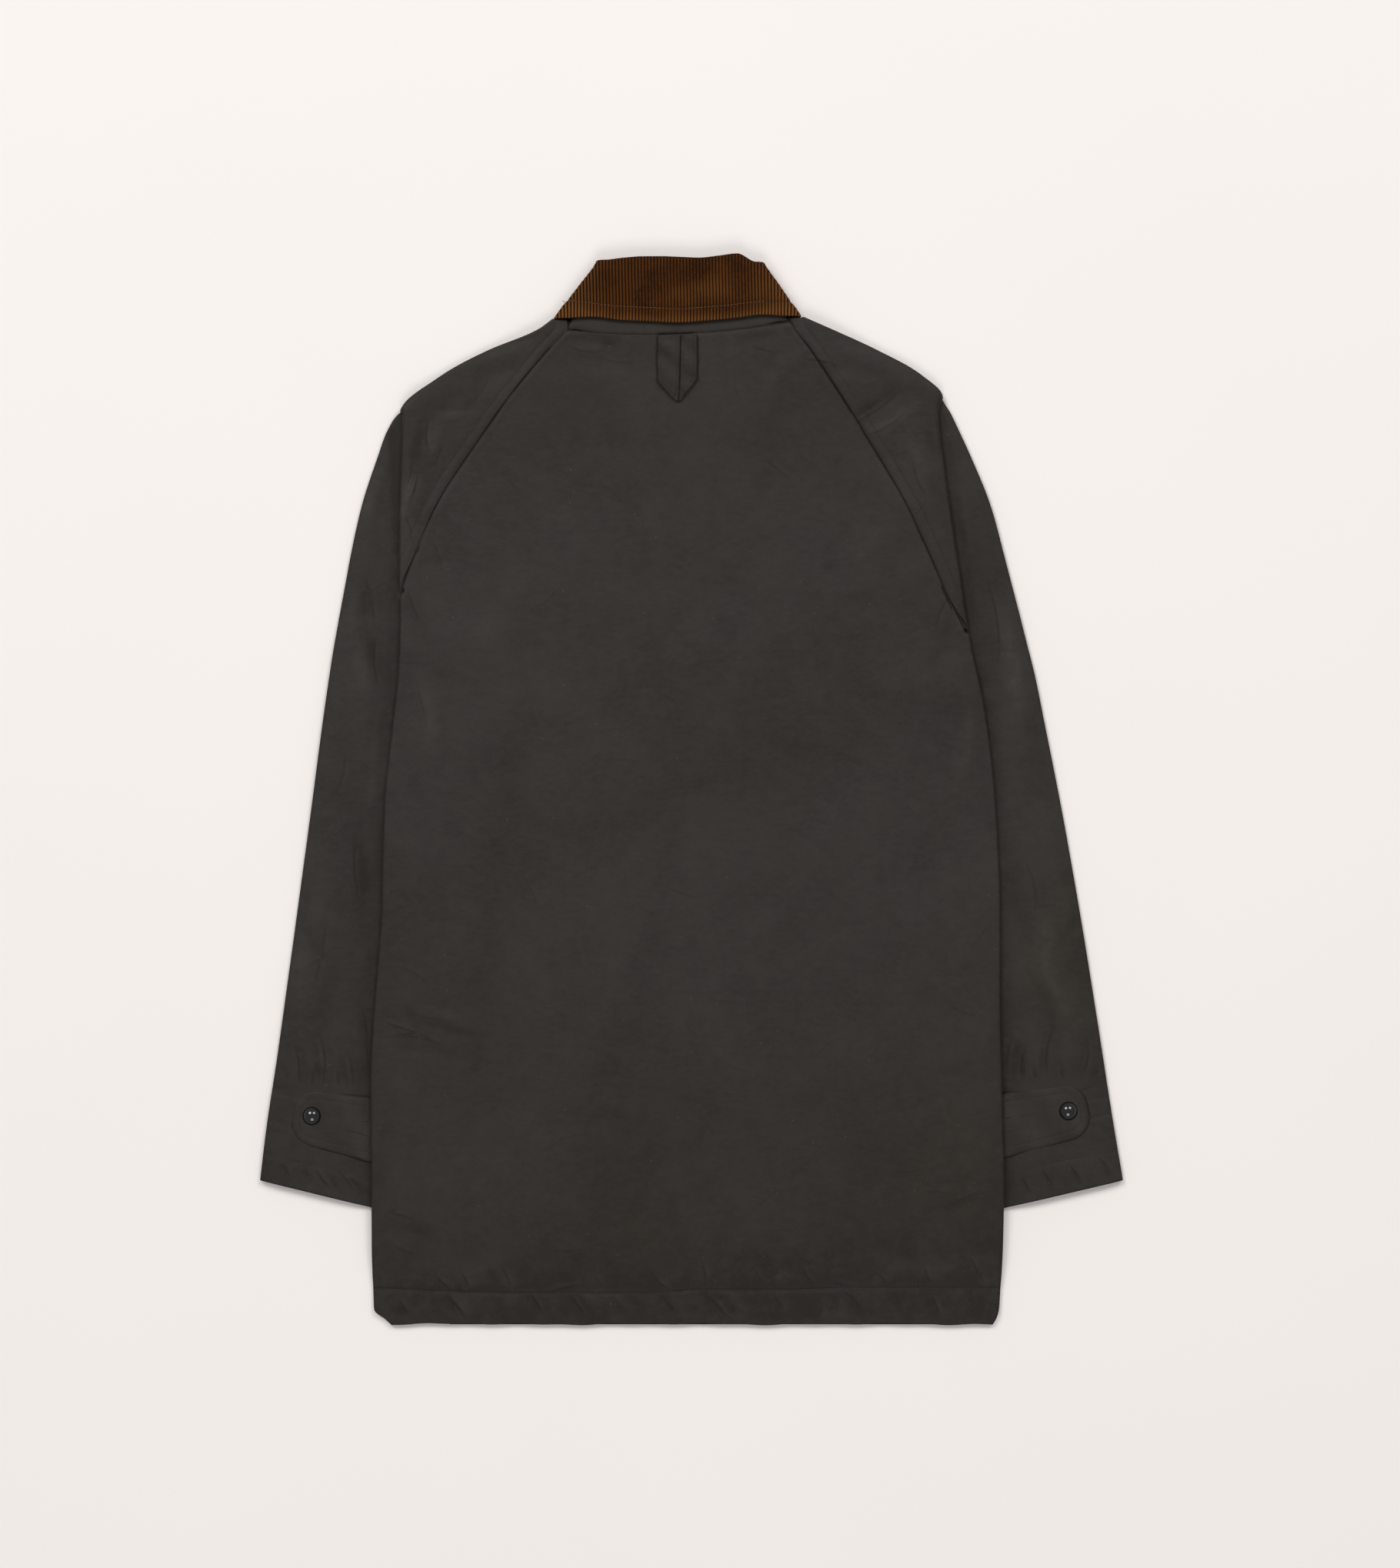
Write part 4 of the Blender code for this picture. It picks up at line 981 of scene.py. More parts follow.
def back_rows():
    heights = sorted(body_heights() + [0.022, 0.032])
    rows = [weighted_back_row(u) for u in heights]
    below = weighted_back_row(BODY_HEIGHTS[-1])
    first, last = below[0][0], below[-1][0]
    left, right = NECK_ENDS[0] + SEAM / 2, NECK_ENDS[1] - SEAM / 2
    row = []
    for point in below:
        x = mix(left, right, (point[0] - first) / (last - first))
        u = neck_seam(x) - SEAM
        row.append((x, u, LEFT.top(x, u), 1.0))
    return rows + [row], heights + [0.8]


def seam_x(side, u):
    return curve(BACK_SEAM, u, side.column)


def seam_dip(distance):
    """Roll of a sewn edge down into its seam, and the low ridge of the allowance beside it."""
    return -0.9 * MM * bell(distance, 1.4 * MM) + 0.25 * MM * bell(distance - 4 * MM, 2.5 * MM)


def build_back(material):
    rows, heights = back_rows()
    steps = [HEM_LINE if high <= 0.046 else BACK_LINE for high in heights[1:]]
    columns = len(rows[0])
    column_steps = np.full(columns - 1, BACK_LINE)
    column_steps[[0, -1]] = 0.012
    column_steps[[1, -2]] = 0.008
    column_steps[[2, 3, 4, -3, -4, -5]] = FINE_LINE
    grid, _ = dense(rows, steps, column_steps)
    x, u, z, weight = (grid[..., k] for k in range(4))
    hem = curve(HEM_SEAM, x)
    below = u - hem
    creases = crease_field(BACK_CREASES, x, u)
    relief = creases + wave_field(x, u) * soft(u / 0.04) + 0.5 * MM
    tube = np.sin(math.pi * np.clip(u / hem, 0, 1)) * 0.9 * MM
    relief += tube - 0.8 * MM * bell(below, 1.8 * MM)
    relief += 0.5 * MM * bell(below - 6 * MM, 5 * MM)
    seam = np.full_like(x, 1.0)
    for side in (LEFT, RIGHT):
        beside = np.abs(x - seam_x(side, u)) * SEAM_SLOPE
        seam = np.minimum(seam, np.where(u > side.armpit - 0.002, beside, 1.0))
    neck = np.abs(u - (NECK_LOW_HEIGHT + NECK_CURVE * (x - NECK_LOW_X) ** 2))
    relief += seam_dip(seam) + seam_dip(neck)
    limit = -0.25 * MM + 0.1 * MM * soft(u / 0.1)
    grid[..., 2] = z + weight * np.maximum(relief, limit)
    wavy = 0.5 + 0.5 * np.sin(x * 61 + 1.0) * np.sin(x * 23 + 0.4) + 0.25 * np.sin(x * 171)
    grid[..., 1] = u + 1.3 * MM * wavy * soft(1 - u / 0.024)
    crease, crease_shade = painted_crease_field(x, u)
    lines = np.stack([np.minimum(seam, neck + 0.4 * MM), below, crease], axis=-1)
    uneven = 0.65 + 0.35 * np.sin(x * 83 + 2.0) * np.sin(x * 31 + 0.7)
    # Painted shade in the crease troughs and painted highlight on their ridges, plus the tone patches; then
    # painted shade in the trough just above the hem stitching.
    tone = 0.7 * creases / MM + tone_and_shade_field(x, u)
    tone -= 0.75 * uneven * bell(below - 2 * MM, 3.2 * MM)
    piece = add_cloth("jacket_back", "back", grid, SHELL, material, lines, tone=tone,
                      crease_shade=crease_shade * weight)


def build_front(side, material):
    rows = [front_row(side, u) for u in body_heights() if u < 0.77]
    rows.append(front_row(side, 0.7975, top_row=True))
    if side is RIGHT:
        rows = [row[::-1] for row in rows]
    grid, _ = dense(rows, HIDDEN_LINE, HIDDEN_LINE)
    name = "jacket_front_" + side.name
    piece = add_cloth(name, "front_" + side.name, grid, SHELL, material)


def sleeve_weights(side, u, row):
    """How far each column of a sleeve's section takes part in the creases."""
    if u >= side.shoulder:
        weights = [1.0, 1.0, 1.0] + [1 - 0.5 * (k / 12) ** 2 for k in range(1, 9)]
        return weights + [0.5, 0.3, 0.1, 0.0] + [0.0] * (len(row) - 15)
    if u > side.underarm:
        edge = side.inward(side.edge(u), FOLD)
        caps = [1.0 if side.sign * (x - edge) <= 0 else 0.4 for x, _, _ in row[:4]]
        weights = caps + [0.2, 0.0] + [0.0] * 4 + [1.0]
    else:
        weights = [0.0] * 10 + [1.0]
    return weights + [1.0, 0.9, 0.5, 0.0] + [0.0] * (len(row) - 15)


def build_sleeve(side, material):
    rows = []
    for u in sleeve_heights(side):
        row = sleeve_row(side, u)
        rows.append([(*point, weight) for point, weight in zip(row, sleeve_weights(side, u, row))])
    column_steps = [0.0026] * 3 + [FINE_LINE] * 7 + [0.0026] + [0.0010] * 3
    column_steps += [HIDDEN_LINE] * (len(rows[0]) - 15)
    heights = sleeve_heights(side)
    row_steps = [0.0024 if high <= 0.26 else 0.0032 for high in heights[1:]]
    column_steps[9] = 0.0028
    grid, counts = dense(rows, row_steps, column_steps)
    x, u, z, weight = (grid[..., k] for k in range(4))
    edge = curve(BODY_EDGE, u, side.column)
    outside = side.sign * (x - edge)
    wall = np.arange(grid.shape[1])[None, :] >= sum(counts[:9])
    folded = u < side.shoulder
    beside = np.where(wall & folded, soft((outside - 1.5 * MM) / (10 * MM)), 1.0)
    silhouette = curve(SLEEVE_EDGE, u, side.column)
    inward = np.abs(silhouette - x)
    puff = 1.8 * MM * soft(inward / (14 * MM)) * soft(outside / (26 * MM))
    puff = np.where(wall & folded, puff, 0.0)
    creases = crease_field(SLEEVE_CREASES, x, u)
    relief = creases + wave_field(x + 0.3, u) + 0.7 * MM + puff
    seam = np.where(u > side.armpit - 0.002, np.abs(x - seam_x(side, u)) * SEAM_SLOPE, 1.0)
    relief += seam_dip(seam)
    relief -= 0.35 * MM * bell(seam - RAGLAN_STITCH, 1.4 * MM)
    grid[..., 0] = x - side.sign * 1.1 * MM * soft((u - 0.790) / 0.010) * (seam < 4 * MM)
    cuff = np.full_like(x, 1.0)
    for points in CUFF_LINES[side.name]:
        cuff = np.minimum(cuff, lined_distance(points, x, u))
    relief -= 0.5 * MM * bell(cuff, 1.6 * MM)
    grid[..., 2] = z + weight * beside * np.maximum(relief, 0.0)
    crease, crease_shade = painted_crease_field(x, u)
    lines = np.stack([seam, cuff, crease], axis=-1)
    # Painted shadow on the sleeve beside the body's edge, painted shade in the crease troughs and painted
    # highlight on their ridges, plus the tone patches.
    shade = 0.7 * bell(outside - 2 * MM, 5 * MM) * folded * (outside > -0.5 * MM)
    tone = 0.75 * creases / MM + tone_and_shade_field(x, u) - shade
    piece = add_cloth("jacket_sleeve_" + side.name, "sleeve_" + side.name, grid, SHELL, material,
                      lines, flip=side.sign > 0, tone=tone, crease_shade=crease_shade * weight)


def wale_rise(x):
    return WALE_RISE * (np.abs(np.sin(math.pi * x / WALE)) ** 0.7 - 0.5)


def build_collar(corduroy, waxed):
    collar = Collar()
    outer = np.array(collar.rows(collar.profile(0, 3, (0.9, 0.5, 0), (0, 0.35, 0.7, 1))), dtype=float)
    columns = outer.shape[1]
    fine = np.full(columns - 1, FINE_LINE)
    fine[6:columns - 7] = 0.00046
    grid, _ = dense(outer, 0.0024, fine)
    down = np.gradient(grid, axis=0)
    across = np.gradient(grid, axis=1)
    normal = np.cross(across, down)
    normal /= np.linalg.norm(normal, axis=2, keepdims=True) + 1e-12
    x, u = grid[..., 0], grid[..., 1]
    facing = np.sign(normal[-4, grid.shape[1] // 2, 2])
    fall = curve(COLLAR_FALL, x)
    top = grid[..., 2] > collar.middle
    stitch = np.where(top, u - fall - COLLAR_STITCH, 1.0)
    outside = np.arange(grid.shape[0])[:, None] > grid.shape[0] * 0.45
    relief = wale_rise(x + 0.35 * MM * np.sin(u * 90))
    relief = relief * (1 - 0.8 * bell(stitch, 0.9 * MM))
    relief -= 0.5 * MM * bell(stitch, 1.6 * MM)
    relief += np.where(top, 0.35 * MM * bell(stitch + 6 * MM, 4 * MM), 0)
    relief += np.where(top, 0.6 * MM * np.sin(x * 31 + 0.6) * soft((u - fall) / 0.03), 0) * 0.5
    grid = grid + facing * normal * np.where(outside, relief, 0.2 * relief)[..., None]
    lines = np.stack([stitch, x, u], axis=-1)
    # Painted highlight on the ribs at both ends of the collar and along the fall's lower edge, then one
    # lighter and one darker patch on the fall.
    tone = 0.9 * soft((np.abs(x + 0.008) - 0.05) / 0.04) + 0.9 * bell(u - fall, 5 * MM)
    tone = tone + 0.5 * np.exp(-((x - 0.012) / 0.03) ** 2 - ((u - 0.835) / 0.012) ** 2)
    tone = tone - 0.6 * np.exp(-((x + 0.02) / 0.03) ** 2 - ((u - 0.845) / 0.01) ** 2)
    piece = add_cloth("jacket_collar", "collar", grid, COLLAR_SHELL, corduroy, lines,
                      flip=True, tone=tone)
    inner = np.array(collar.rows(collar.profile(1, 2, (1.02, 0.5, 0), (0, 0.35, 0.7, 0.97))), dtype=float)
    grid, _ = dense(inner, 0.003, 0.003)
    under = add_cloth("jacket_under_collar", "under_collar", grid, COLLAR_SHELL, waxed,
                      flip=True)


def build_strap(name, material):
    table = STRAPS[name]
    heights = np.linspace(table[0][0], table[-1][0], 60)
    first, last = curve(table, heights, 1), curve(table, heights, 2)
    share = np.linspace(0, 1, 21)
    x = first[:, None] + (last - first)[:, None] * share
    u = np.broadcast_to(heights[:, None], x.shape)
    lift = CLOTH / 2 + LAY + TAB_CLOTH / 2
    z = np.vectorize(LEFT.top)(x, u) + lift
    inset = np.minimum(x - first[:, None], last[:, None] - x)
    tip = u - table[0][0]
    relief = 0.5 * MM + 0.5 * MM * soft(inset / (3 * MM)) * soft(tip / (6 * MM))
    relief -= 0.35 * MM * bell(inset - STRAP_STITCH, 0.7 * MM)
    relief += 0.12 * MM * np.sin(u * 420 + x * 160)
    relief -= 0.5 * MM * bell(inset, 0.7 * MM)
    # Painted shade along the strap's edges; the strap darker overall, with streaks.
    tone = -1.5 * bell(inset, 1.1 * MM) - 0.45 + 0.5 * np.sin(u * 300 + x * 210)
    grid = np.stack([x, u, z + relief], axis=-1)
    lines = np.stack([inset - STRAP_STITCH, np.full_like(x, 1.0), np.full_like(x, 1.0)], axis=-1)
    piece = add_cloth("jacket_" + name, name, grid, TAB_CLOTH, material, lines, tone=tone)


def inset_outline(length, inset):
    """Tab outline drawn in by an inset."""
    base, end = (half - inset for half in TAB_HALF_WIDTH)
    corner = max(TAB_CORNER - inset, 1.5 * MM)
    far = length - inset
    points = [(-TAB_HIDDEN + inset + (far + TAB_HIDDEN - inset - corner) * k / 16,
               -mix(base, end, k / 17)) for k in range(17)]
    for sign, start in ((-1, -90), (1, 0)):
        for k in range(1, 13):
            angle = math.radians(start + 90 * k / 12.5)
            points.append((far - corner + corner * math.cos(angle),
                           sign * (end - corner) + corner * math.sin(angle)))
    mirrored = [(x, -y) for x, y in points[:17]]
    return points + mirrored[::-1]


def on_tab(side, x, y):
    """Garment point at x along a cuff tab and y across it."""
    tab = TABS[side.name]
    angle = math.radians(tab["angle"])
    return (tab["x"] + x * math.cos(angle) - y * math.sin(angle),
            tab["u"] + x * math.sin(angle) + y * math.cos(angle))


def build_tab(side, material):
    insets = [0, 0.4, 1.0, 2.0, 3.5, 5.0, 6.2, 7.0, 7.8, 9.0, 11.0, 13.5, 16.5, 20.0]
    points, lines, tones_and_edge_shade = [], [], []
    for inset in insets:
        for x, y in inset_outline(TAB_LENGTH[side.name], inset * MM):
            edge = -0.7 * math.exp(-(inset / 0.9) ** 2)
            groove = -0.2 * math.exp(-((inset - 7) / 0.9) ** 2)
            rise = (0.9 + edge + groove + 0.35 * smooth(inset / 3)) * MM
            rise += 0.25 * MM * math.sin(x * 210 + y * 60) * smooth(inset / 4)
            gx, gu = on_tab(side, x, y)
            if side.sign * (gx - side.edge(gu)) < 4 * MM:
                rise = -0.1 * MM
            points.append((gx, gu, TAB_HEIGHT + rise))
            lines.append(((inset - 7) * MM, 1.0, 1.0))
            # Painted shadow round the tab's edge, with streaks.
            tones_and_edge_shade.append(-1.6 * math.exp(-(inset / 1.3) ** 2) + 0.3 * math.sin(x * 150 + y * 90))
    ring = len(points) // len(insets)
    faces = []
    for k in range(len(insets) - 1):
        for j in range(ring):
            a, b = k * ring + j, k * ring + (j + 1) % ring
            faces.append((a, b, b + ring, a + ring))
    faces.append(tuple(range((len(insets) - 1) * ring, len(insets) * ring)))
    name = "jacket_cuff_tab_" + side.name
    piece, world = add_mesh(name, points, faces, material, np.array(lines), np.array(tones_and_edge_shade))
    thicken(piece, TAB_CLOTH)
    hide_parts("cuff_tab_" + side.name)
    GROUND.add(world, faces, TAB_CLOTH / 2)


DOME = [
    # radius, height in mm from the tab: dome, groove and rim of the snap's cap
    (0.0, 5.0), (1.2, 4.93), (2.4, 4.68), (3.6, 4.24), (4.7, 3.62), (5.6, 2.92), (6.3, 2.2), (6.9, 1.45),
    (7.3, 0.9), (7.5, 0.45), (7.4, 0.1), (6.6, 0.0)]


def build_snap(side, material):
    x, u = TABS[side.name]["snap"]
    z = TAB_HEIGHT + TAB_CLOTH / 2 + 0.9 * MM
    count = 64
    points, faces = [], []
    for radius, height in DOME:
        for k in range(count):
            angle = 2 * math.pi * k / count
            points.append((x + radius * MM * math.cos(angle), u + radius * MM * math.sin(angle),
                           z + height * MM))
    for k in range(len(DOME) - 1):
        for j in range(count):
            a, b = k * count + j, k * count + (j + 1) % count
            if k == 0:
                faces.append((a, a + count, b + count))
            else:
                faces.append((a, a + count, b + count, b))
    faces.append(tuple(range((len(DOME) - 1) * count, len(DOME) * count))[::-1])
    piece, _ = add_mesh("jacket_snap_" + side.name, points, faces, material)
    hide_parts("snap_" + side.name)


class Stitches:
    """Thread stitches of one seam group, laid on the cloth's top."""

    def __init__(self, name, material, pitch=3.1, length=2.3, width=0.55, rise=0.32):
        self.name = name
        self.material = material
        self.pitch = pitch * MM
        self.length = length * MM
        self.width = width * MM
        self.rise = rise * MM
        self.verts = []
        self.faces = []

    def line(self, points):
        """Stitches along a polyline in garment metres."""
        points = np.array(points, dtype=float)
        gaps = np.linalg.norm(np.diff(points, axis=0), axis=1)
        far = np.concatenate([[0], np.cumsum(gaps)])
        count = int(far[-1] / self.pitch)
        for k in range(count):
            mid = (k + 0.5) * self.pitch
            ends = [np.array([np.interp(mid + s * self.length / 2, far, points[:, c]) for c in (0, 1)])
                    for s in (-1, 1)]
            self.stitch(*ends)

    def stitch(self, first, last):
        along = last - first
        size = np.linalg.norm(along)
        if size < 0.2 * MM:
            return
        across = np.array((-along[1], along[0])) / size * self.width / 2
        middle = (first + last) / 2
        low_a = GROUND.height(*first)
        low_b = GROUND.height(*last)
        low = max(GROUND.height(*middle), (low_a + low_b) / 2)
        base = len(self.verts)
        sink = 0.15 * MM
        for centre, z, share in ((first, low_a, 0.5), (middle, low, 1.0), (last, low_b, 0.5)):
            a, b = centre - across * share, centre + across * share
            lift = self.rise * (0.35 if share < 1 else 1.0)
            self.verts += [(*a, z - sink), (*(centre - across * share * 0.6), z + lift * 0.8),
                           (*(centre + across * share * 0.6), z + lift * 0.8), (*b, z - sink)]
        for s in (0, 4):
            for k in range(4):
                a, b = base + s + k, base + s + (k + 1) % 4
                self.faces.append((a, b, b + 4, a + 4))
        self.faces.append((base + 3, base + 2, base + 1, base))
        self.faces.append((base + 8, base + 9, base + 10, base + 11))

    def build(self):
        piece, _ = add_mesh(self.name, self.verts, self.faces, self.material)


def offset_seam(side, distance):
    """Points of the stitch line beside a raglan seam, on the sleeve."""
    points = []
    for u in np.arange(side.armpit + 0.004, 0.800, 0.01):
        x = seam_x(side, u) + side.sign * distance * SEAM_SLOPE
        drop = distance * 0.53
        points.append((x, u + drop))
    edge = [(px, pu) for px, pu in points if side.sign * (side.inward(side.edge(pu), FOLD) - px) > 0.5 * MM]
    return edge


def build_stitching(thread, brown_thread):
    raglan = Stitches("jacket_raglan_stitching", thread)
    for side in (LEFT, RIGHT):
        raglan.line(offset_seam(side, RAGLAN_STITCH))
    raglan.build()
    hem = Stitches("jacket_hem_stitching", thread)
    hem.line(HEM_SEAM)
    hem.build()
    cuffs = Stitches("jacket_cuff_stitching", thread)
    for side in (LEFT, RIGHT):
        for points in CUFF_LINES[side.name]:
            cuffs.line([(x * MM, u * MM) for x, u in points])
        outline = []
        for x, y in inset_outline(TAB_LENGTH[side.name], TAB_STITCH):
            gx, gu = on_tab(side, x, y)
            if side.sign * (gx - side.edge(gu)) > 2.5 * MM:
                outline.append((gx, gu))
        cuffs.line(outline)
    cuffs.build()
    straps = Stitches("jacket_loop_stitching", thread, pitch=2.4, length=1.7, width=0.5)
    for name, table in STRAPS.items():
        for column, inward in ((1, 1), (2, -1)):
            straps.line([(row[column] + inward * STRAP_STITCH, row[0]) for row in table[2:]])
    for x0, x1 in BAR_TACKS:
        for k in range(5):
            straps.line([(x0, 0.7945 - k * 0.0004), (x1, 0.7950 - k * 0.0004)])
    straps.build()
    collar = Stitches("jacket_collar_stitching", brown_thread)
    collar.line([(x, u + COLLAR_STITCH) for x, u in COLLAR_FALL[1:-1]])
    collar.build()


class Nodes:
    """Short calls for building one material's node tree."""

    def __init__(self, name):
        self.material = bpy.data.materials.new(name)
        self.material.use_nodes = True
        self.tree = self.material.node_tree
        self.shader = self.tree.nodes["Principled BSDF"]
        coordinates = self.tree.nodes.new("ShaderNodeTexCoord")
        self.place = coordinates.outputs["Object"]

    def put(self, kind, **values):
        node = self.tree.nodes.new(kind)
        for key, value in values.items():
            if isinstance(value, bpy.types.NodeSocket):
                self.tree.links.new(value, node.inputs[key])
            else:
                node.inputs[key].default_value = value
        return node

    def noise(self, scale, detail=3.0, rough=0.55, place=None):
        node = self.put("ShaderNodeTexNoise", Scale=scale, Detail=detail, Roughness=rough)
        self.tree.links.new(place or self.place, node.inputs["Vector"])
        return node.outputs["Fac"]

    def math(self, operation, *values):
        node = self.tree.nodes.new("ShaderNodeMath")
        node.operation = operation
        for k, value in enumerate(values):
            if isinstance(value, bpy.types.NodeSocket):
                self.tree.links.new(value, node.inputs[k])
            else:
                node.inputs[k].default_value = value
        return node.outputs[0]

    def range(self, value, low, high, start=0.0, end=1.0):
        node = self.tree.nodes.new("ShaderNodeMapRange")
        self.tree.links.new(value, node.inputs[0])
        for k, limit in enumerate((low, high, start, end)):
            node.inputs[k + 1].default_value = limit
        return node.outputs[0]

    def blend(self, share, first, last):
        node = self.tree.nodes.new("ShaderNodeMix")
        node.data_type = "RGBA"
        for socket, value in ((node.inputs[0], share), (node.inputs[6], first), (node.inputs[7], last)):
            if isinstance(value, bpy.types.NodeSocket):
                self.tree.links.new(value, socket)
            else:
                socket.default_value = value if isinstance(value, float) else (*value, 1.0)
        return node.outputs[2]

    def attribute(self, name, output="Fac"):
        node = self.tree.nodes.new("ShaderNodeAttribute")
        node.attribute_name = name
        return node.outputs[output]

    def lines(self):
        """The three distances held by the mesh."""
        split = self.tree.nodes.new("ShaderNodeSeparateXYZ")
        self.tree.links.new(self.attribute("lines", "Vector"), split.inputs[0])
        return split.outputs

    def surface(self, **values):
        """Link or set the shader's own sockets, their names with _ for each space."""
        for key, value in values.items():
            socket = self.shader.inputs[key.replace("_", " ")]
            if isinstance(value, bpy.types.NodeSocket):
                self.tree.links.new(value, socket)
            else:
                socket.default_value = value

    def line(self, distance, centre, width):
        """1 on a stitch line, 0 away from it."""
        off = self.math("ABSOLUTE", self.math("SUBTRACT", distance, centre))
        return self.range(off, 0.0, width, 1.0, 0.0)

    def bumps(self, *heights):
        """Chain of bump nodes: (height, strength, distance)."""
        normal = None
        for height, strength, distance in heights:
            node = self.tree.nodes.new("ShaderNodeBump")
            node.inputs["Strength"].default_value = strength
            node.inputs["Distance"].default_value = distance
            self.tree.links.new(height, node.inputs["Height"])
            if normal:
                self.tree.links.new(normal, node.inputs["Normal"])
            normal = node.outputs[0]
        self.tree.links.new(normal, self.shader.inputs["Normal"])


def waxed_material(name, stitch):
    """Waxed cotton: dark olive brown, mottled by the wax, with fine lint, a dry sheen, painted shade and
    highlight from the tone attribute, and painted crease lines.

    Each row of stitch is a seam or stitch line: its distance's axis, centre, width, depth."""
    m = Nodes(name)
    cloud = m.noise(5.5, 4.0, 0.6)
    patch = m.noise(19.0, 5.0, 0.65)
    thread = m.put("ShaderNodeMapping", Vector=m.place, Scale=(0.55, 1.0, 1.0))
    grain = m.noise(230.0, 4.0, 0.7, thread.outputs[0])
    warm = m.noise(4.0, 2.0, 0.5, m.put("ShaderNodeMapping", Vector=m.place,
                                       Location=(3.1, 1.7, 0.4)).outputs[0])
    smear = m.noise(58.0, 6.0, 0.68)
    tone = m.math("ADD", m.math("MULTIPLY", m.range(cloud, 0.35, 0.65), 0.35),
                  m.math("ADD", m.math("MULTIPLY", m.range(patch, 0.35, 0.65), 0.35),
                         m.math("MULTIPLY", m.range(smear, 0.33, 0.67), 0.30)))
    dark = m.blend(m.range(warm, 0.35, 0.65), (0.0122, 0.0090, 0.0062), (0.0120, 0.0100, 0.0085))
    light = m.blend(m.range(warm, 0.35, 0.65), (0.0262, 0.0210, 0.0160), (0.0264, 0.0230, 0.0206))
    colour = m.blend(tone, dark, light)
    colour = m.blend(m.range(grain, 0.38, 0.62, 0.0, 0.26), colour, (0.034, 0.0278, 0.0224))
    # Tone attribute: uneven wax plus painted shade in creases, troughs and beside edges, and painted
    # highlight on ridges.
    tone_and_painted_light = m.attribute("tone")
    streak = m.noise(70.0, 5.0, 0.7)
    tone_and_painted_light = m.math("MULTIPLY", tone_and_painted_light, m.range(streak, 0.35, 0.65, 0.35, 1.5))
    colour = m.blend(m.range(tone_and_painted_light, 0.0, -1.2, 0.0, 0.8), colour, (0.0092, 0.0060, 0.0034))
    colour = m.blend(m.range(tone_and_painted_light, 0.0, 1.2, 0.0, 0.6), colour, (0.050, 0.043, 0.036))
    lint = m.put("ShaderNodeTexVoronoi", Vector=m.place, Scale=260.0)
    spot = m.range(lint.outputs["Distance"], 0.0, 0.13, 1.0, 0.0)
    pick = m.range(m.noise(90.0, 2.0), 0.63, 0.68)
    colour = m.blend(m.math("MULTIPLY", m.math("MULTIPLY", spot, pick), 0.6), colour, (0.20, 0.18, 0.16))
    lines = m.lines()
    groove = None
    for axis, centre, width, depth in stitch:
        line = m.math("MULTIPLY", m.line(lines[axis], centre, width), depth)
        groove = line if groove is None else m.math("MAXIMUM", groove, line)
    # Painted crease lines: painted shade along their troughs and painted highlight on their flanks.
    fold = m.attribute("crease_shade")
    trough_shade = m.math("MULTIPLY", m.line(lines["Z"], 0.0, 0.0015), fold)
    flank_highlight = m.math("MULTIPLY", m.line(lines["Z"], 0.0027, 0.0024), fold)
    colour = m.blend(m.math("MULTIPLY", flank_highlight, 0.16), colour, (0.050, 0.042, 0.034))
    colour = m.blend(m.math("MULTIPLY", trough_shade, 0.85), colour, (0.0050, 0.0034, 0.0022))
    weave = m.noise(900.0, 2.0, 0.5)
    slub = m.noise(60.0, 5.0, 0.6)
    bumps = [(m.noise(24.0, 4.0, 0.55), 0.35, 0.004), (slub, 0.25, 0.0012), (weave, 0.2, 0.0003)]
    if groove is not None:
        colour = m.blend(groove, colour, (0.0055, 0.0040, 0.0030))
        bumps.append((m.math("MULTIPLY", groove, -1.0), 0.6, 0.0006))
    m.surface(Base_Color=colour, Roughness=m.range(patch, 0.3, 0.7, 0.52, 0.68),
              Specular_IOR_Level=0.22, Sheen_Weight=0.02, Sheen_Roughness=0.5)
    m.bumps(*bumps)
    return m.material


def corduroy_material():
    """Brown corduroy: rib tops painted light and furrows painted dark as highlight and shade, uneven nap,
    and painted highlight and shade from the tone attribute.
    """
    m = Nodes("corduroy_brown")
    lines = m.lines()
    across, up = lines["Y"], lines["Z"]
    shift = m.math("MULTIPLY", m.math("SINE", m.math("MULTIPLY", up, 90.0)), 0.00035)
    phase = m.math("MULTIPLY", m.math("ADD", across, shift), math.pi / WALE)
    rib = m.math("ABSOLUTE", m.math("SINE", phase))
    nap = m.noise(45.0, 4.0, 0.6)
    fuzz = m.noise(700.0, 3.0, 0.7)
    top = m.blend(m.range(nap, 0.4, 0.6), (0.026, 0.0072, 0.0007), (0.064, 0.0192, 0.0020))
    top = m.blend(m.range(fuzz, 0.35, 0.65, 0.0, 0.4), top, (0.105, 0.036, 0.0060))
    # Tone attribute: painted highlight on the ribs at the collar's ends and lower edge, painted shade where
    # it is low.
    tone_and_painted_light = m.attribute("tone")
    top = m.blend(m.range(tone_and_painted_light, 0.0, 1.2, 0.0, 0.7), top, (0.185, 0.074, 0.018))
    top = m.blend(m.range(tone_and_painted_light, 0.0, -1.2, 0.0, 0.6), top, (0.028, 0.0085, 0.0018))
    # Furrows painted dark as shade, rib tops lighter as highlight.
    colour = m.blend(m.range(rib, 0.35, 1.0), (0.0065, 0.0016, 0.0003), top)
    stitch = m.line(lines["X"], 0.0, 0.0011)
    colour = m.blend(m.math("MULTIPLY", stitch, 0.6), colour, (0.03, 0.012, 0.004))
    m.surface(Base_Color=colour, Roughness=0.85, Specular_IOR_Level=0.08, Sheen_Weight=0.02,
              Sheen_Roughness=0.4, Sheen_Tint=(0.9, 0.6, 0.35, 1.0))
    m.bumps((rib, 0.5, 0.0005), (fuzz, 0.4, 0.0003))
    return m.material


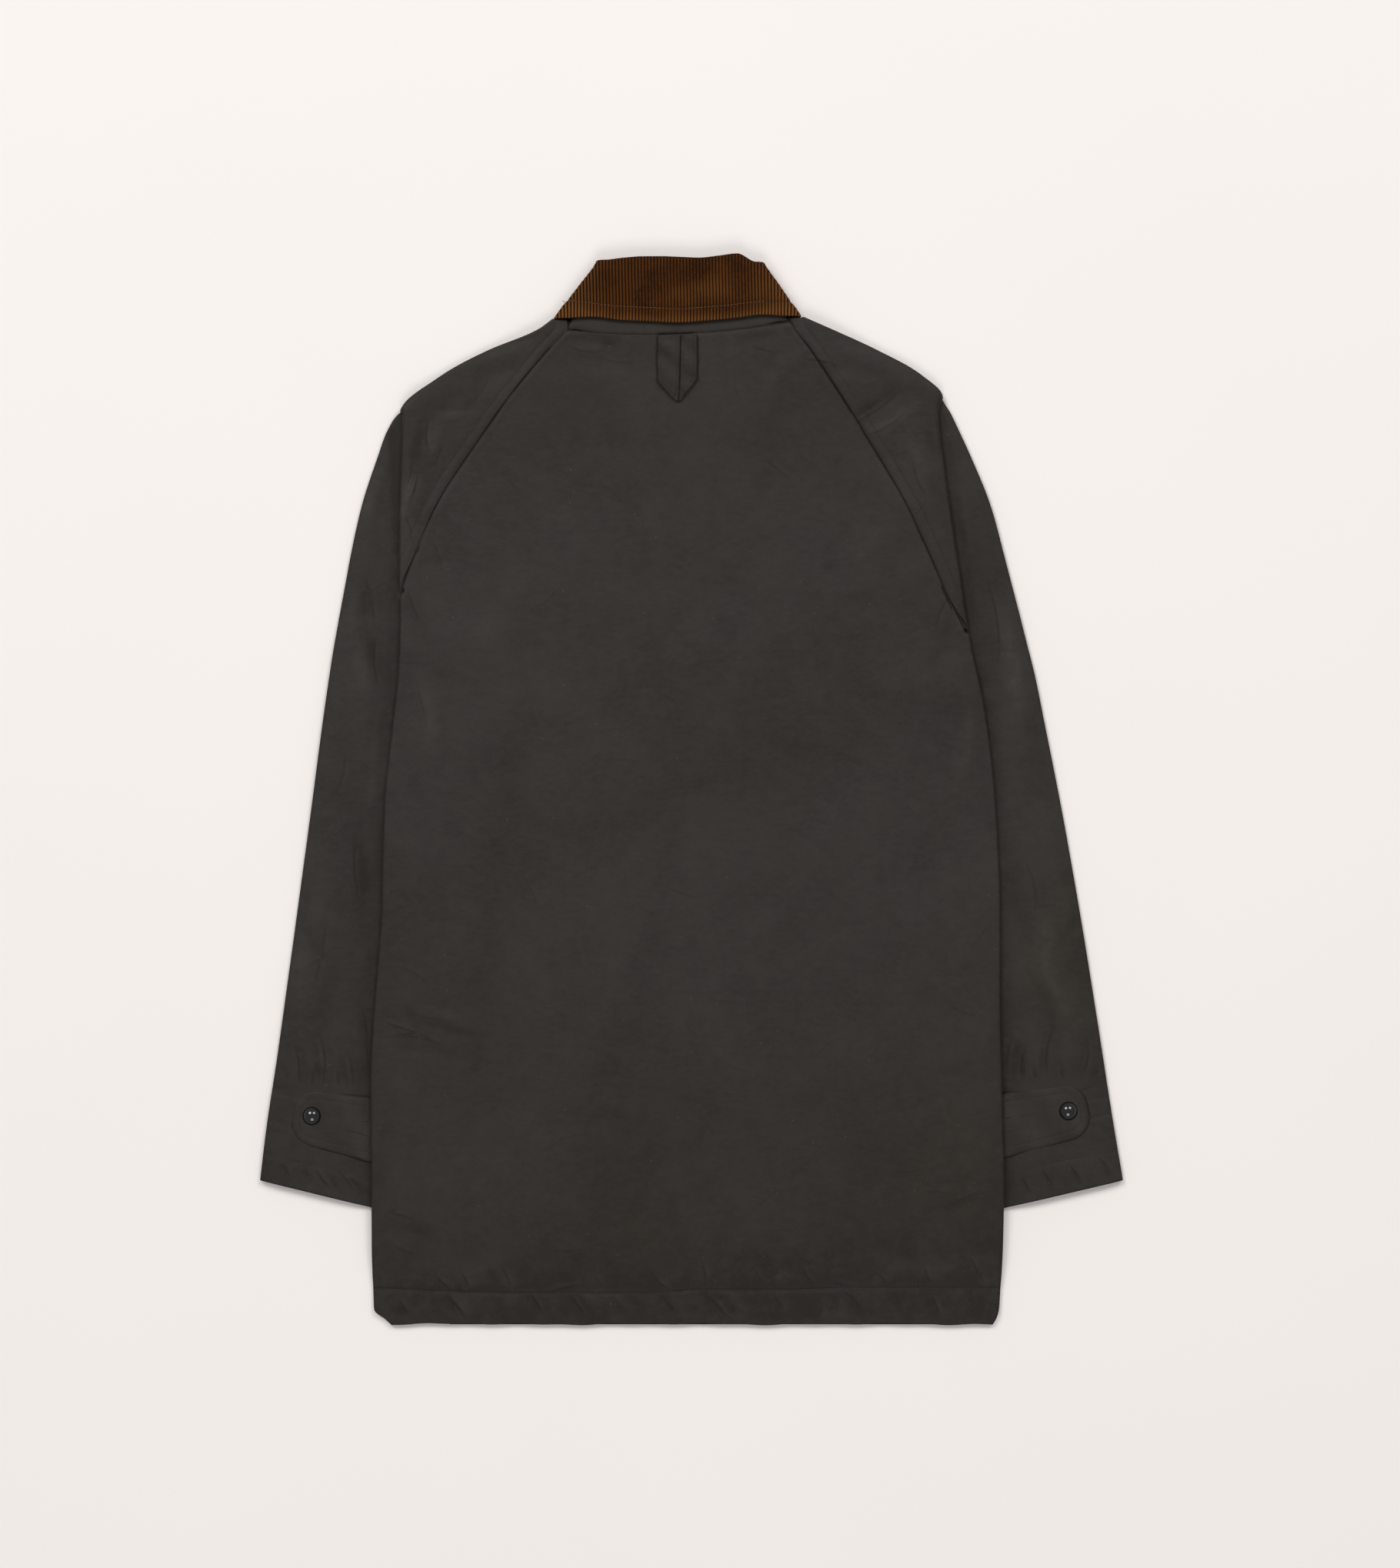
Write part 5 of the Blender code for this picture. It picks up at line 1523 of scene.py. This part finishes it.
def thread_material(name, colour):
    m = Nodes(name)
    twist = m.noise(1400.0, 2.0)
    lighter = tuple(1.6 * channel for channel in colour)
    m.surface(Base_Color=m.blend(m.range(twist, 0.3, 0.7), colour, lighter), Roughness=0.6)
    m.bumps((twist, 0.4, 0.0002))
    return m.material


def snap_material():
    m = Nodes("snap_gloss_black")
    smudge = m.noise(220.0, 3.0)
    m.surface(Roughness=m.range(smudge, 0.3, 0.7, 0.05, 0.11), Base_Color=(0.006, 0.006, 0.006, 1.0),
              Specular_IOR_Level=0.75)
    return m.material


def floor_material():
    m = Nodes("pale_floor")
    grain = m.noise(3.0, 2.0)
    colour = m.blend(m.range(grain, 0.3, 0.7), (0.850, 0.806, 0.783), (0.858, 0.813, 0.790))
    m.surface(Base_Color=colour, Roughness=0.9, Specular_IOR_Level=0.1)
    return m.material


def add_light(name, place, size, power, colour=(1.0, 1.0, 1.0)):
    """Square soft light turned towards the middle of the jacket."""
    data = bpy.data.lights.new(name, "AREA")
    data.size = size
    data.energy = power
    data.color = colour
    lamp = bpy.data.objects.new(name, data)
    x, y, z = place
    lamp.location = place
    lamp.rotation_euler = (math.atan2(math.hypot(x, y), z), 0, math.atan2(y, x) + math.pi / 2)
    bpy.context.scene.collection.objects.link(lamp)


def add_stage():
    data = bpy.data.meshes.new("floor")
    half = 4.0
    data.from_pydata([(-half, -half, 0), (half, -half, 0), (half, half, 0), (-half, half, 0)], [],
                     [(0, 1, 2, 3)])
    data.materials.append(floor_material())
    floor = bpy.data.objects.new("floor", data)
    bpy.context.scene.collection.objects.link(floor)
    world = bpy.data.worlds.new("studio")
    world.use_nodes = True
    world.node_tree.nodes["Background"].inputs["Color"].default_value = (1.0, 0.985, 0.975, 1.0)
    world.node_tree.nodes["Background"].inputs["Strength"].default_value = 0.34
    bpy.context.scene.world = world
    add_light("window_left", (-2.3, 3.0, 4.6), 2.3, 150.0)
    add_light("window_right", (2.1, 3.1, 4.6), 2.3, 112.0)
    add_light("low", (0.0, -4.4, 5.2), 3.0, 112.0)


def add_camera():
    data = bpy.data.cameras.new("camera")
    data.lens = 90
    data.sensor_width = 36
    camera = bpy.data.objects.new("camera", data)
    camera.location = (0.0105, 0.005, 3.165)
    bpy.context.scene.collection.objects.link(camera)
    bpy.context.scene.camera = camera
    bpy.context.scene.view_settings.view_transform = "Standard"


def main():
    add_stage()
    add_camera()
    back_cloth = waxed_material("waxed_back", [("X", 0.0, 0.0011, 0.8), ("Y", 0.0, 0.0011, 0.85)])
    sleeve_cloth = waxed_material(
        "waxed_sleeve",
        [("X", 0.0, 0.0008, 0.7), ("X", RAGLAN_STITCH, 0.0007, 0.3), ("Y", 0.0, 0.0008, 0.45)])
    plain_cloth = waxed_material("waxed_plain", [])
    trim_cloth = waxed_material("waxed_trim", [("X", 0.0, 0.0007, 0.28)])
    for side in (LEFT, RIGHT):
        build_front(side, plain_cloth)
        build_sleeve(side, sleeve_cloth)
    build_back(back_cloth)
    build_collar(corduroy_material(), plain_cloth)
    for name in STRAPS:
        build_strap(name, trim_cloth)
    snap = snap_material()
    for side in (LEFT, RIGHT):
        build_tab(side, trim_cloth)
        build_snap(side, snap)
    build_stitching(thread_material("dark_thread", (0.016, 0.013, 0.010)),
                    thread_material("brown_thread", (0.10, 0.045, 0.015)))


main()
